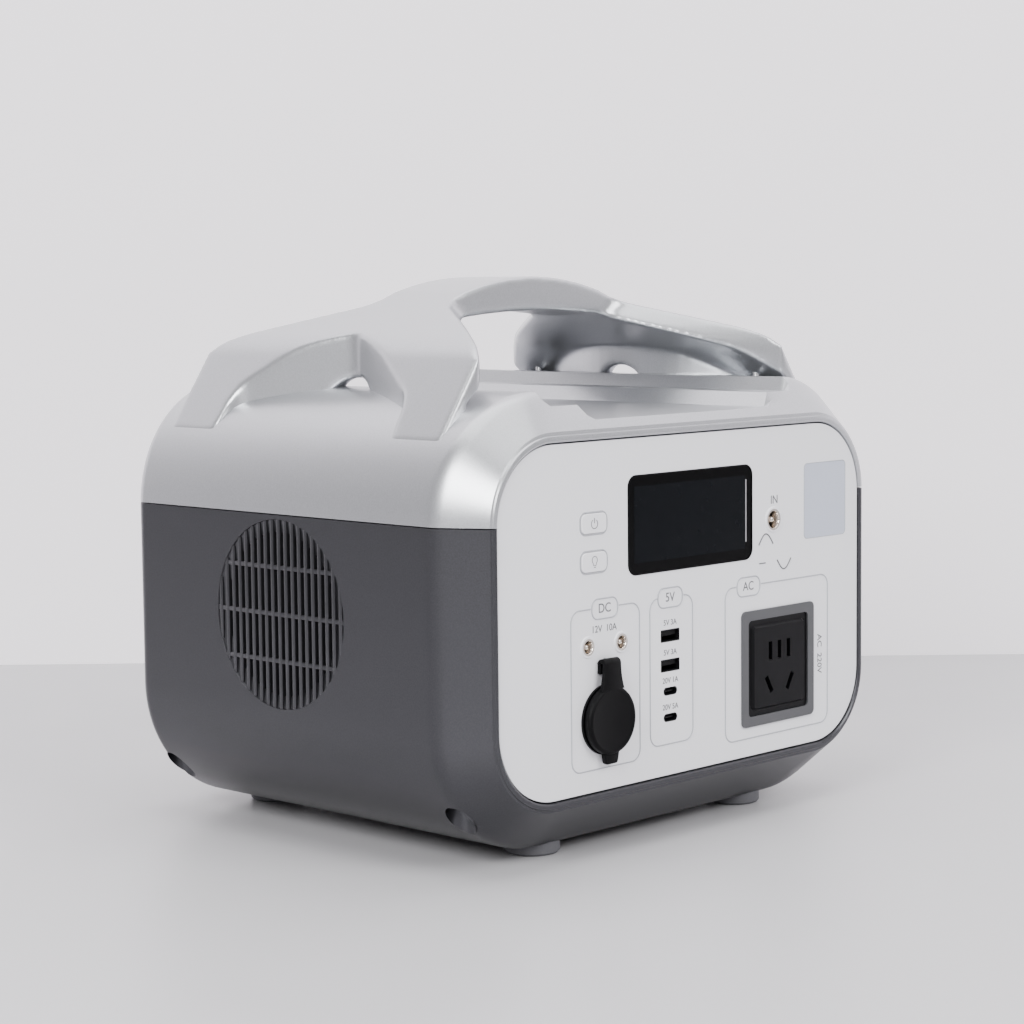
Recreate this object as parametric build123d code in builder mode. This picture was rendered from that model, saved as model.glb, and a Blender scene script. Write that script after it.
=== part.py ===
"""Portable power station: a two-part shell with a fixed arch handle, a flat front panel of
ports and controls, a side fan behind a round grille, and the battery and boards inside.

Millimetres. +X runs to the right along the front panel, +Y into the depth, +Z up.
The origin is on the resting surface, under the middle of the body.
"""

import os

from build123d import *

os.makedirs("parts", exist_ok=True)

# ---------------------------------------------------------------- driving dimensions

# Body
body_width = 263.0
body_depth = 225.0
body_bottom = 4.5
seam_height = 139.5
body_top = 190.5
wall = 3.0
bottom_radius = 56.0
shoulder_radius = 52.0

# Slanted band round the front and the rear
band_depth = 21.0
band_reach_top = 14.0
rear_band_in = 21.0
rim_width = 3.0
rim_drop = 3.5

# Front panel, set back inside the rim
panel_side_margin = 15.0
panel_top_margin = 20.5
panel_bottom = 28.0
panel_radius = 31.0
panel_thickness = 3.0
panel_recess = 1.0
panel_clearance = 0.15
panel_ledge = 4.0
ledge_thickness = 2.5

# Terraced deck under the handle: two steps down, each with a short slope
deck_step = 6.0
deck_side_in = 51.5
deck_slope_high = 3.0
deck_shelf = 15.5
deck_slope_low = 5.5

# Handle: places are measured in from the body's side or end, and up from its top
handle_rise = 45.5
handle_crown_half = 42.0
handle_crown_drop = 6.0
handle_elbow_in = 37.5
handle_elbow_up = 19.2
handle_elbow_radius = 24.0
handle_foot_in = 12.0
handle_foot_down = 18.5
handle_leg_in = 28.5
grip_thickness = 15.0
grip_half_width = 23.0
grip_half_length = 47.0
grip_corner_radius = 15.0
under_edge_out = 2.0
under_edge_drop = 2.5
under_knee_in = 47.5
under_knee_up = 11.5
under_foot_in = 27.5
under_foot_down = 4.5
under_knee_radius = 30.0
hollow_apex_in = 46.5
hollow_knee_in = 23.8
hollow_knee_end_in = 59.0
hollow_foot_end_in = 56.5
hollow_corner_radius = 10.0
end_wall_in = 50.5
end_wall_radius = 100.0
gap_radius = 16.0
gap_down = 12.5
handle_screw_in = 32.5
handle_screw_end_in = 44.5
handle_screw_radius = 1.9
handle_screw_grip = 8.0
handle_boss_radius = 5.0
handle_boss_depth = 14.5

# Round side vents
vent_height = 98.0
vent_diameter = 79.0
vent_open_diameter = 68.0
vent_dish = 1.2
vent_pitch = 4.15
vent_bar = 2.0
vent_rib = 2.2
vent_rib_pitch = 19.5
vent_bars = 21
vent_taper = 30.0

# Feet and their screws
foot_side_in = 65.5
foot_end_in = 32.0
foot_radius = 11.5
foot_embed = 1.0
foot_screw_radius = 1.5
foot_screw_short = 0.2
foot_screw_head = 3.2
foot_head_clearance = 0.1
foot_chamfer = 0.8
foot_counterbore = 2.5
foot_head_height = 1.6

# Shell screws, driven up from deep recesses in the lower corners
recess_side_in = 17.0
recess_end_in = 24.5
recess_radius = 6.3
recess_roof = 27.5
post_wall = 1.7
screw_radius = 1.9
screw_clearance = 0.3
screw_grip = 14.0
screw_tip_gap = 1.0
screw_head_radius = 3.6
screw_head_height = 2.6
screw_drive_width = 0.9
screw_drive_length = 4.7
upper_post_height = 40.0

# Controls on the panel, from the panel's middle
button_x = -61.2
button_width = 15.0
button_height = 8.0
power_button_z = 38.2
light_button_z = 22.6
button_clearance = 0.2
button_travel = 1.0
button_proud = 0.6
button_corner = 2.6
button_stem = 2.0
button_collar = 1.2
button_collar_growth = 2.0
button_board_growth = 6.0
button_board_rise = 4.0
button_pillar_inset = 1.0
button_pillar_radius = 0.9
button_reach = 2.0
button_gap = 0.3
button_edge = 0.4

lcd_x = 0.2
lcd_z = 35.3
lcd_width = 80.5
lcd_height = 40.5
lcd_corner = 4.5
lcd_module_depth = 5.0
lcd_module_margin = 2.5

in_jack_x = 55.3
in_jack_z = 30.7
in_bore_radius = 3.9
in_rim_wall = 1.0
in_pin_radius = 0.6
jack_body_wall = 1.7
jack_body_depth = 12.0
jack_bore_depth = 9.0
jack_pin_set_back = 1.0
jack_proud = 0.4

led_x = 92.5
led_z = 37.0
led_width = 30.0
led_height = 33.0
led_corner = 2.0
led_board_growth = 2.0
led_array_inset = 6.0
board_corner = 1.0

# Output groups
dc_x = -55.0
dc_jack_z = -11.6
dc_jack_spacing = 20.2
dc_bore_radius = 2.75
dc_rim_wall = 1.35
dc_pin_radius = 1.05

car_z = -42.0
car_bore_radius = 10.45
car_shell_wall = 1.75
car_flange_lip = 2.2
car_depth = 42.0
car_floor = 3.0
car_flange_thickness = 1.0
car_contact_radius = 3.0
car_contact_height = 4.0
cap_margin = 0.4
cap_thickness = 3.6
cap_plug_clearance = 1.45
cap_plug_depth = 3.0
cap_gap = 0.3
strap_width = 11.5
strap_thickness = 1.7
strap_height = 9.5
tab_width = 8.0
tab_length = 4.5
tab_thickness = 2.5
tab_set_back = 1.0
tab_root = 0.5
tab_corner = 1.5
strap_root = 1.0
hinge_rise = 1.5
cap_edge_radius = 1.0
strap_anchor_z = -19.5
strap_pin_radius = 2.5
strap_hinge_gap = 0.4
strap_bend_radius = 2.5

usb_x = -14.1
usb_a_z = (-12.3, -24.8)
usb_a_width = 12.0
usb_a_height = 5.2
usb_c_z = (-35.7, -46.8)
usb_c_width = 8.6
usb_c_height = 3.4
usb_a_corner = 0.4
usb_c_corner = 1.6
usb_board_growth = 16.0
usb_depth = 13.0
usb_shell = 0.8
usb_a_tongue = 1.9
usb_c_tongue = 0.7
usb_bore_depth = 11.0
usb_tongue_depth = 10.0

ac_x = 58.3
ac_z = -33.0
ac_frame_border = 4.3
ac_frame_radius = 2.5
ac_frame_proud = 0.8
ac_insert_width = 42.0
ac_insert_radius = 2.0
ac_face_border = 2.5
ac_face_rise = 1.2
ac_slot_width = 2.4
ac_slot_height = 8.0
ac_row_z = 6.7
ac_row_pitch = 6.35
ac_slant_z = -8.0
ac_slant_x = 7.3
ac_slant_tilt = 30.0
ac_slot_depth = 17.0
ac_contact_thickness = 0.6
ac_contact_height = 6.0
ac_contact_length = 10.0
ac_face_taper = 40.0
ac_depth = 30.0

# Cooling fan behind the left vent
fan_size = 80.0
fan_depth = 25.0
fan_gap = 0.5
fan_corner = 3.0
fan_rim = 2.5
fan_tip_gap = 1.0
fan_hub_radius = 17.0
fan_blades = 7
fan_blade_thickness = 1.6
fan_blade_pitch = 35.0
fan_strut_width = 4.0
fan_strut_depth = 4.0
fan_hub_gap = 1.0
fan_axle_clearance = 0.05
fan_blade_chord = 17.0
fan_axle_radius = 2.0
fan_hole_in = 4.25
fan_hole_radius = 2.15

# Battery
cell_radius = 9.2
cell_length = 65.0
cell_gap = 1.1
cell_columns = 9
cell_rows = 5
cell_floor = 18.0
battery_x = 10.0
battery_end_in = 23.5
holder_thickness = 6.0
holder_corner = 2.0
holder_margin = 1.5
holder_clearance = 0.1
strip_width = 8.0
strip_thickness = 0.4
tray_half_width = 72.0
bms_width = 120.0
bms_height = 60.0
bms_pad_thickness = 2.5
bms_pad_inset = 4.0

# Boards
board_thickness = 1.6
bracket_thickness = 1.5
standoff_height = 6.0
standoff_radius = 3.0
standoff_inset = 6.0
inverter_width = 160.0
inverter_depth = 64.0
bracket_side = 4.0
sink_length = 60.0
sink_height = 26.0
sink_fins = 8
sink_fin_thickness = 1.5
sink_fin_pitch = 4.0
sink_base = 4.0
core_radius = 17.0
core_hole = 7.0
core_height = 15.0
core_edge_radius = 2.0
capacitor_radius = 8.0
capacitor_height = 28.0
capacitor_chamfer = 0.8
capacitor_gap = 2.0
capacitor_offset = 4.0

# ---------------------------------------------------------------- derived dimensions

half_width = body_width / 2
half_depth = body_depth / 2
panel_width = body_width - 2 * panel_side_margin
panel_height = body_top - panel_top_margin - panel_bottom
crease_y = half_depth - band_depth
rear_rim_half = half_width - rear_band_in
rear_panel_width = 2 * (rear_rim_half - rim_width)
front_rim_half = panel_width / 2 + rim_width
rim_bottom = panel_bottom - rim_drop
rim_top = panel_bottom + panel_height + rim_drop
rim_radius = panel_radius + rim_width
band_slope = (body_top - rim_top) / band_reach_top
crease_top = rim_top + band_slope * band_depth
crease_radius = shoulder_radius + crease_top - body_top
panel_mid = panel_bottom + panel_height / 2
panel_face = -half_depth + panel_recess
panel_back = panel_face + panel_thickness
ledge_back = panel_back + ledge_thickness
inner_half_width = half_width - wall
inner_bottom = body_bottom + wall
deck_mid = body_top - deck_step
deck_low = deck_mid - deck_step
deck_high_half = half_width - deck_side_in
deck_mid_outer = deck_high_half - deck_slope_high
deck_mid_inner = deck_mid_outer - deck_shelf
deck_low_half = deck_mid_inner - deck_slope_low
handle_top = body_top + handle_rise
handle_crown_edge = handle_top - handle_crown_drop
handle_elbow = (half_width - handle_elbow_in, body_top + handle_elbow_up)
handle_foot = (half_width - handle_foot_in, body_top - handle_foot_down)
handle_leg_half = half_depth - handle_leg_in
under_crown = handle_top - grip_thickness
under_edge = (handle_crown_half + under_edge_out, under_crown - under_edge_drop)
under_knee = (half_width - under_knee_in, body_top + under_knee_up)
under_foot = (half_width - under_foot_in, body_top - under_foot_down)
splay_end = half_width - under_foot_in
hollow_apex_x = half_width - hollow_apex_in
hollow_knee = (half_width - hollow_knee_in, half_depth - hollow_knee_end_in)
hollow_foot_half = half_depth - hollow_foot_end_in
end_wall_x = half_width - end_wall_in
gap_centre = body_top - gap_down
handle_boss_bottom = body_top - handle_boss_depth
handle_screw_x = half_width - handle_screw_in
handle_screw_y = half_depth - handle_screw_end_in
foot_x = half_width - foot_side_in
foot_y = half_depth - foot_end_in
recess_x = half_width - recess_side_in
recess_y = half_depth - recess_end_in
recess_floor = seam_height - recess_roof
post_radius = recess_radius + post_wall
in_jack_radius = in_bore_radius + in_rim_wall
dc_jack_radius = dc_bore_radius + dc_rim_wall
car_shell_radius = car_bore_radius + car_shell_wall
car_flange_radius = car_shell_radius + car_flange_lip
cap_radius = car_flange_radius - cap_margin
cap_plug_radius = car_bore_radius - cap_plug_clearance
ac_frame_width = ac_insert_width + 2 * ac_frame_border
ac_face_width = ac_insert_width - 2 * ac_face_border
fan_bore_radius = fan_size / 2 - fan_rim
fan_blade_radius = fan_bore_radius - fan_tip_gap
fan_hole_offset = fan_size / 2 - fan_hole_in
cell_pitch = 2 * cell_radius + cell_gap
battery_width = cell_columns * cell_pitch
battery_height = cell_rows * cell_pitch
battery_back = half_depth - battery_end_in
battery_front = battery_back - cell_length
battery_mid_z = cell_floor + battery_height / 2
battery_mid_y = (battery_front + battery_back) / 2
holder_bottom = cell_floor - holder_margin
bracket_z = cell_floor + battery_height + holder_margin
inverter_z = bracket_z + bracket_thickness + standoff_height
inverter_top = inverter_z + board_thickness
cap_face = panel_face - car_flange_thickness - cap_gap - cap_thickness
hinge_z = panel_mid + car_z + cap_radius + hinge_rise


def front_plane(y):
    """The plane across the body at depth y, with its x to the right and its y up."""
    return Plane.XZ.offset(-y)


def round_section(y, half, bottom, top, low_radius, high_radius):
    """A rounded section of the body at depth y."""
    with BuildSketch(front_plane(y)) as section:
        with Locations((0, (bottom + top) / 2)):
            Rectangle(2 * half, top - bottom)
        fillet(section.vertices().group_by(Axis.Y)[0], low_radius)
        fillet(section.vertices().group_by(Axis.Y)[-1], high_radius)
    return section.sketch


def valley_section(drop):
    """The stepped valley along the top, lowered and widened by drop."""
    with BuildSketch(front_plane(-half_depth)) as section:
        with BuildLine():
            Polyline(
                (-deck_high_half - drop, 2 * body_top),
                (-deck_high_half - drop, body_top - drop),
                (-deck_mid_outer - drop, deck_mid - drop),
                (-deck_mid_inner - drop, deck_mid - drop),
                (-deck_low_half - drop, deck_low - drop),
                (deck_low_half + drop, deck_low - drop),
                (deck_mid_inner + drop, deck_mid - drop),
                (deck_mid_outer + drop, deck_mid - drop),
                (deck_high_half + drop, body_top - drop),
                (deck_high_half + drop, 2 * body_top),
                close=True,
            )
        make_face()
    return section.sketch


def body_form(inset, end_y):
    """The body's outer form, or its hollow when inset by a wall."""
    crease = (half_width - inset, body_bottom + inset, crease_top - inset)
    full = (half_width - inset, body_bottom + inset, body_top - inset)
    rim_radii = (rim_radius - inset, rim_radius - inset)
    crease_radii = (bottom_radius - inset, crease_radius - inset)
    full_radii = (bottom_radius - inset, shoulder_radius - inset)
    with BuildPart() as form:
        extrude(round_section(-crease_y, *crease, *crease_radii), amount=-2 * crease_y)
        for side, rim_half in ((-1, front_rim_half), (1, rear_rim_half)):
            rim = (rim_half - inset, rim_bottom + inset, rim_top - inset)
            rim_face = round_section(side * end_y, *rim, *rim_radii)
            crease_face = round_section(side * crease_y, *crease, *crease_radii)
            loft([rim_face, crease_face], ruled=True)
        full_face = round_section(-half_depth, *full, *full_radii)
        extrude(full_face, amount=-body_depth, mode=Mode.INTERSECT)
        extrude(valley_section(inset), amount=-body_depth, mode=Mode.SUBTRACT)
    return form.part


outer_form = body_form(0, half_depth)
inner_form = body_form(wall, -ledge_back)


def panel_outline(y, width, growth):
    """The rounded outline of a panel at depth y, grown all round."""
    with BuildSketch(front_plane(y)) as section:
        with Locations((0, panel_mid)):
            RectangleRounded(
                width + 2 * growth, panel_height + 2 * growth, panel_radius + growth
            )
    return section.sketch


def panel_seats():
    """The openings for the front and the rear panel, each with a ledge behind it."""
    for side, width in ((-1, panel_width), (1, rear_panel_width)):
        end = side * half_depth
        ledge_outline = panel_outline(end, width, -panel_ledge)
        extrude(ledge_outline, amount=end, mode=Mode.SUBTRACT)
        seat_outline = panel_outline(end, width, panel_clearance)
        seat_depth = panel_recess + panel_thickness
        extrude(seat_outline, amount=side * seat_depth, mode=Mode.SUBTRACT)


recess_spots = [(x, y) for x in (-recess_x, recess_x) for y in (-recess_y, recess_y)]
foot_spots = [(x, y) for x in (-foot_x, foot_x) for y in (-foot_y, foot_y)]
handle_screw_spots = [
    (x, y)
    for x in (-handle_screw_x, handle_screw_x)
    for y in (-handle_screw_y, handle_screw_y)
]

# ---------------------------------------------------------------- shells

with BuildPart() as lower_shell:
    add(outer_form)
    add(inner_form, mode=Mode.SUBTRACT)
    with BuildSketch(Plane.XY.offset(body_bottom)):
        with Locations(*recess_spots):
            Circle(post_radius)
    extrude(amount=seam_height - body_bottom)
    add(outer_form, mode=Mode.INTERSECT)
    panel_seats()
    split(bisect_by=Plane.XY.offset(seam_height), keep=Keep.BOTTOM)
    with BuildSketch():
        with Locations(*recess_spots):
            Circle(recess_radius)
    extrude(amount=recess_floor, mode=Mode.SUBTRACT)
    with BuildSketch(Plane.XY.offset(recess_floor)):
        with Locations(*recess_spots):
            Circle(screw_radius + screw_clearance)
    extrude(amount=seam_height - recess_floor, mode=Mode.SUBTRACT)
    with BuildSketch(Plane.XY.offset(body_bottom)):
        with Locations(*foot_spots):
            Circle(foot_radius)
    extrude(amount=foot_embed, mode=Mode.SUBTRACT)
    with BuildSketch(Plane.XY.offset(body_bottom)):
        with Locations(*foot_spots):
            Circle(foot_screw_radius)
    extrude(amount=wall, mode=Mode.SUBTRACT)
    for side in (-1, 1):
        with BuildSketch(Plane.YZ.offset(side * half_width)):
            with Locations((0, vent_height)):
                Circle(vent_diameter / 2)
        extrude(amount=-side * vent_dish, taper=vent_taper, mode=Mode.SUBTRACT)
    with BuildSketch(Plane.YZ):
        with Locations((0, vent_height)):
            Circle(vent_open_diameter / 2)
        with Locations((0, vent_height)):
            with GridLocations(vent_pitch, 0, vent_bars, 1):
                Rectangle(vent_bar, vent_diameter, mode=Mode.SUBTRACT)
            with GridLocations(0, vent_rib_pitch, 1, 3):
                Rectangle(vent_diameter, vent_rib, mode=Mode.SUBTRACT)
    extrude(amount=half_width, both=True, mode=Mode.SUBTRACT)
lower_shell.part.label = "lower_shell"
export_step(lower_shell.part, "parts/lower_shell.step")

with BuildPart() as upper_shell:
    add(outer_form)
    add(inner_form, mode=Mode.SUBTRACT)
    with BuildSketch(Plane.XY.offset(seam_height)):
        with Locations(*recess_spots):
            Circle(post_radius)
    extrude(amount=upper_post_height)
    with BuildSketch(Plane.XY.offset(handle_boss_bottom)):
        with Locations(*handle_screw_spots):
            Circle(handle_boss_radius)
    extrude(amount=body_top - handle_boss_bottom)
    add(outer_form, mode=Mode.INTERSECT)
    panel_seats()
    split(bisect_by=Plane.XY.offset(seam_height), keep=Keep.TOP)
    with BuildSketch(Plane.XY.offset(seam_height)):
        with Locations(*recess_spots):
            Circle(screw_radius)
    extrude(amount=screw_grip, mode=Mode.SUBTRACT)
    with BuildSketch(Plane.XY.offset(handle_boss_bottom)):
        with Locations(*handle_screw_spots):
            Circle(handle_screw_radius + screw_clearance)
    extrude(amount=body_top - handle_boss_bottom, mode=Mode.SUBTRACT)
upper_shell.part.label = "upper_shell"
export_step(upper_shell.part, "parts/upper_shell.step")

with BuildPart() as shell_screws:
    with BuildSketch(Plane.XY.offset(recess_floor - screw_head_height)):
        with Locations(*recess_spots):
            Circle(screw_head_radius)
    extrude(amount=screw_head_height)
    with BuildSketch(Plane.XY.offset(recess_floor)):
        with Locations(*recess_spots):
            Circle(screw_radius)
    extrude(amount=seam_height + screw_grip - screw_tip_gap - recess_floor)
    with BuildSketch(Plane.XY.offset(recess_floor - screw_head_height)):
        with Locations(*recess_spots):
            Rectangle(screw_drive_length, screw_drive_width)
            Rectangle(screw_drive_width, screw_drive_length)
    extrude(amount=screw_head_height / 2, mode=Mode.SUBTRACT)
shell_screws.part.label = "shell_screws"
export_step(shell_screws.part, "parts/shell_screws.step")

# ---------------------------------------------------------------- handle


def under_opening():
    """The space under the arch, closed at each end by the handle's bowed end wall."""
    with BuildPart() as opening:
        with BuildSketch(Plane.XZ):
            with BuildLine():
                for side in (-1, 1):
                    FilletPolyline(
                        (side * under_edge[0], under_edge[1]),
                        (side * under_knee[0], under_knee[1]),
                        (side * under_foot[0], under_foot[1]),
                        radius=under_knee_radius,
                    )
                    Line(
                        (side * under_foot[0], under_foot[1]),
                        (side * under_foot[0], body_bottom),
                    )
                Line((-under_foot[0], body_bottom), (under_foot[0], body_bottom))
                ThreePointArc(
                    (-under_edge[0], under_edge[1]),
                    (0, under_crown),
                    (under_edge[0], under_edge[1]),
                )
            make_face()
        extrude(amount=half_depth, both=True)
        with BuildSketch():
            for side in (-1, 1):
                with Locations((side * (end_wall_x + end_wall_radius), 0)):
                    Circle(end_wall_radius)
        extrude(amount=handle_top, mode=Mode.SUBTRACT)
    return opening.part


def end_hollows():
    """The upright triangular hollow in each end of the handle."""
    with BuildPart() as hollows:
        with BuildSketch():
            for side in (-1, 1):
                with BuildLine():
                    FilletPolyline(
                        (side * body_width, hollow_foot_half),
                        (side * hollow_knee[0], hollow_knee[1]),
                        (side * hollow_apex_x, 0),
                        (side * hollow_knee[0], -hollow_knee[1]),
                        (side * body_width, -hollow_foot_half),
                        radius=hollow_corner_radius,
                    )
                    Line(
                        (side * body_width, hollow_foot_half),
                        (side * body_width, -hollow_foot_half),
                    )
                make_face()
        extrude(amount=handle_top)
    return hollows.part


# The arch: a crowned grip, straight slopes and bent legs, cut to an hourglass from above
with BuildPart() as handle:
    with BuildSketch(Plane.XZ):
        with BuildLine():
            ThreePointArc(
                (-handle_crown_half, handle_crown_edge),
                (0, handle_top),
                (handle_crown_half, handle_crown_edge),
            )
            for side in (-1, 1):
                FilletPolyline(
                    (side * handle_crown_half, handle_crown_edge),
                    (side * handle_elbow[0], handle_elbow[1]),
                    (side * handle_foot[0], handle_foot[1]),
                    radius=handle_elbow_radius,
                )
            Line(
                (-handle_foot[0], handle_foot[1]),
                (handle_foot[0], handle_foot[1]),
            )
        make_face()
    extrude(amount=handle_leg_half, both=True)
    add(under_opening(), mode=Mode.SUBTRACT)
    with BuildSketch(Plane.XY.offset(deck_low)):
        for side in (-1, 1):
            with BuildLine():
                FilletPolyline(
                    (-splay_end, side * handle_leg_half),
                    (-grip_half_length, side * grip_half_width),
                    (grip_half_length, side * grip_half_width),
                    (splay_end, side * handle_leg_half),
                    radius=grip_corner_radius,
                )
                Polyline(
                    (splay_end, side * handle_leg_half),
                    (splay_end, side * body_depth),
                    (-splay_end, side * body_depth),
                    (-splay_end, side * handle_leg_half),
                )
            make_face()
    extrude(amount=handle_top, mode=Mode.SUBTRACT)
    add(end_hollows(), mode=Mode.SUBTRACT)
    with BuildSketch(Plane.YZ):
        with Locations((0, gap_centre)):
            Circle(gap_radius)
    extrude(amount=half_width, both=True, mode=Mode.SUBTRACT)
    # The legs stand on the shell's shoulders
    section_radii = (bottom_radius, shoulder_radius)
    shoulder_face = round_section(-half_depth, half_width, body_bottom, body_top, *section_radii)
    extrude(shoulder_face, amount=-body_depth, mode=Mode.SUBTRACT)
    with BuildSketch(Plane.XY.offset(body_bottom)):
        with Locations(*handle_screw_spots):
            Circle(handle_screw_radius)
    extrude(amount=body_top - body_bottom + handle_screw_grip, mode=Mode.SUBTRACT)
handle.part.label = "handle"
export_step(handle.part, "parts/handle.step")

with BuildPart() as handle_screws:
    with BuildSketch(Plane.XY.offset(handle_boss_bottom - screw_head_height)):
        with Locations(*handle_screw_spots):
            Circle(screw_head_radius)
    extrude(amount=screw_head_height)
    with BuildSketch(Plane.XY.offset(handle_boss_bottom)):
        with Locations(*handle_screw_spots):
            Circle(handle_screw_radius)
    extrude(amount=body_top + handle_screw_grip - screw_tip_gap - handle_boss_bottom)
handle_screws.part.label = "handle_screws"
export_step(handle_screws.part, "parts/handle_screws.step")

# ---------------------------------------------------------------- front and rear panels


def spot(x, z):
    """A place on the panel, measured from its middle, in a front sketch."""
    return (x, panel_mid + z)


def rounded_prism(x, z, width, height, corner, front, depth, mode=Mode.ADD):
    """A rounded block set in the panel, from the depth front inwards."""
    with BuildSketch(front_plane(front)) as section:
        with Locations(spot(x, z)):
            RectangleRounded(width, height, corner)
    extrude(section.sketch, amount=-depth, mode=mode)


def round_prism(x, z, radius, front, depth, mode=Mode.ADD):
    """A round block set in the panel, from the depth front inwards."""
    with BuildSketch(front_plane(front)) as section:
        with Locations(spot(x, z)):
            Circle(radius)
    extrude(section.sketch, amount=-depth, mode=mode)


button_zs = {"power_button": power_button_z, "light_button": light_button_z}
dc_jack_xs = {
    "dc_jack_left": dc_x - dc_jack_spacing / 2,
    "dc_jack_right": dc_x + dc_jack_spacing / 2,
}
through = 2 * panel_thickness

with BuildPart() as front_panel:
    extrude(panel_outline(panel_face, panel_width, 0), amount=-panel_thickness)
    for z in button_zs.values():
        opening = (button_width + 2 * button_clearance, button_height + 2 * button_clearance)
        rounded_prism(
            button_x, z, *opening, button_corner, panel_face, through, Mode.SUBTRACT
        )
    rounded_prism(
        lcd_x, lcd_z, lcd_width, lcd_height, lcd_corner, panel_face, through, Mode.SUBTRACT
    )
    rounded_prism(
        led_x, led_z, led_width, led_height, led_corner, panel_face, through, Mode.SUBTRACT
    )
    round_prism(in_jack_x, in_jack_z, in_jack_radius, panel_face, through, Mode.SUBTRACT)
    for x in dc_jack_xs.values():
        round_prism(x, dc_jack_z, dc_jack_radius, panel_face, through, Mode.SUBTRACT)
    round_prism(dc_x, car_z, car_shell_radius, panel_face, through, Mode.SUBTRACT)
    for z in usb_a_z:
        rounded_prism(
            usb_x, z, usb_a_width, usb_a_height, usb_a_corner, panel_face, through, Mode.SUBTRACT
        )
    for z in usb_c_z:
        rounded_prism(
            usb_x, z, usb_c_width, usb_c_height, usb_c_corner, panel_face, through, Mode.SUBTRACT
        )
    rounded_prism(
        ac_x, ac_z, ac_insert_width, ac_insert_width, ac_insert_radius, panel_face, through,
        Mode.SUBTRACT,
    )
    round_prism(dc_x, strap_anchor_z, strap_pin_radius, panel_face, through, Mode.SUBTRACT)
front_panel.part.label = "front_panel"
export_step(front_panel.part, "parts/front_panel.step")

with BuildPart() as rear_panel:
    rear_face = half_depth - panel_recess
    extrude(panel_outline(rear_face, rear_panel_width, 0), amount=panel_thickness)
rear_panel.part.label = "rear_panel"
export_step(rear_panel.part, "parts/rear_panel.step")

# ---------------------------------------------------------------- screen, lamp and buttons

with BuildPart() as lcd_window:
    rounded_prism(
        lcd_x, lcd_z, lcd_width, lcd_height, lcd_corner, panel_face, panel_thickness
    )
lcd_window.part.label = "lcd_window"
export_step(lcd_window.part, "parts/lcd_window.step")

with BuildPart() as lcd_module:
    rounded_prism(
        lcd_x,
        lcd_z,
        lcd_width + 2 * lcd_module_margin,
        lcd_height + 2 * lcd_module_margin,
        board_corner,
        panel_back,
        lcd_module_depth,
    )
lcd_module.part.label = "lcd_module"
export_step(lcd_module.part, "parts/lcd_module.step")

with BuildPart() as led_lens:
    rounded_prism(
        led_x, led_z, led_width, led_height, led_corner, panel_face, panel_thickness
    )
led_lens.part.label = "led_lens"
export_step(led_lens.part, "parts/led_lens.step")

with BuildPart() as led_board:
    rounded_prism(
        led_x,
        led_z,
        led_width + led_board_growth,
        led_height + led_board_growth,
        board_corner,
        panel_back,
        board_thickness,
    )
    with BuildSketch(front_plane(panel_back + board_thickness)):
        with Locations(spot(led_x, led_z)):
            Rectangle(led_width - led_array_inset, led_height - led_array_inset)
    extrude(amount=-board_thickness)
led_board.part.label = "led_board"
export_step(led_board.part, "parts/led_board.step")

# Each button is a cap in the panel, a collar that keeps it in, and a stem to its switch
for name, z in button_zs.items():
    cap_front = panel_face - button_proud
    with BuildPart() as button:
        rounded_prism(
            button_x,
            z,
            button_width,
            button_height,
            button_corner - button_clearance,
            cap_front,
            button_proud + panel_thickness + button_clearance,
        )
        rounded_prism(
            button_x,
            z,
            button_width + button_collar_growth,
            button_height + button_collar_growth,
            button_corner,
            panel_back + button_clearance,
            button_collar,
        )
        round_prism(
            button_x, z, button_stem, panel_back + button_clearance + button_collar, button_reach
        )
        fillet(button.faces().sort_by(Axis.Y)[0].edges(), button_edge)
    button.part.label = name
    export_step(button.part, "parts/" + name + ".step")

button_pad_y = (
    panel_back + button_clearance + button_collar + button_reach + button_travel + button_gap
)
button_rows = (power_button_z + light_button_z) / 2
button_span = power_button_z - light_button_z + button_height + button_board_rise
button_board_width = button_width + button_board_growth
pillar_columns = button_board_width - 2 * button_pillar_inset
pillar_rows = button_span - 2 * button_pillar_inset

with BuildPart() as button_board:
    rounded_prism(
        button_x,
        button_rows,
        button_board_width,
        button_span,
        board_corner,
        button_pad_y,
        board_thickness,
    )
    with BuildSketch(front_plane(panel_back)):
        with Locations(spot(button_x, button_rows)):
            with GridLocations(pillar_columns, pillar_rows, 2, 2):
                Circle(button_pillar_radius)
    extrude(amount=-(button_pad_y - panel_back))
button_board.part.label = "button_board"
export_step(button_board.part, "parts/button_board.step")

# ---------------------------------------------------------------- jacks


def barrel_jack(x, z, rim, bore, pin):
    """A round power jack: rim in the panel, body behind it, bore and centre pin."""
    round_prism(x, z, rim, panel_face - jack_proud, jack_proud + panel_thickness)
    round_prism(x, z, in_bore_radius + jack_body_wall, panel_back, jack_body_depth)
    front = panel_face - jack_proud
    round_prism(x, z, bore, front, jack_proud + jack_bore_depth, Mode.SUBTRACT)
    round_prism(x, z, pin, panel_face + jack_pin_set_back, jack_bore_depth)


with BuildPart() as in_jack:
    barrel_jack(in_jack_x, in_jack_z, in_jack_radius, in_bore_radius, in_pin_radius)
in_jack.part.label = "in_jack"
export_step(in_jack.part, "parts/in_jack.step")

for name, x in dc_jack_xs.items():
    with BuildPart() as dc_jack:
        barrel_jack(x, dc_jack_z, dc_jack_radius, dc_bore_radius, dc_pin_radius)
    dc_jack.part.label = name
    export_step(dc_jack.part, "parts/" + name + ".step")

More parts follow.
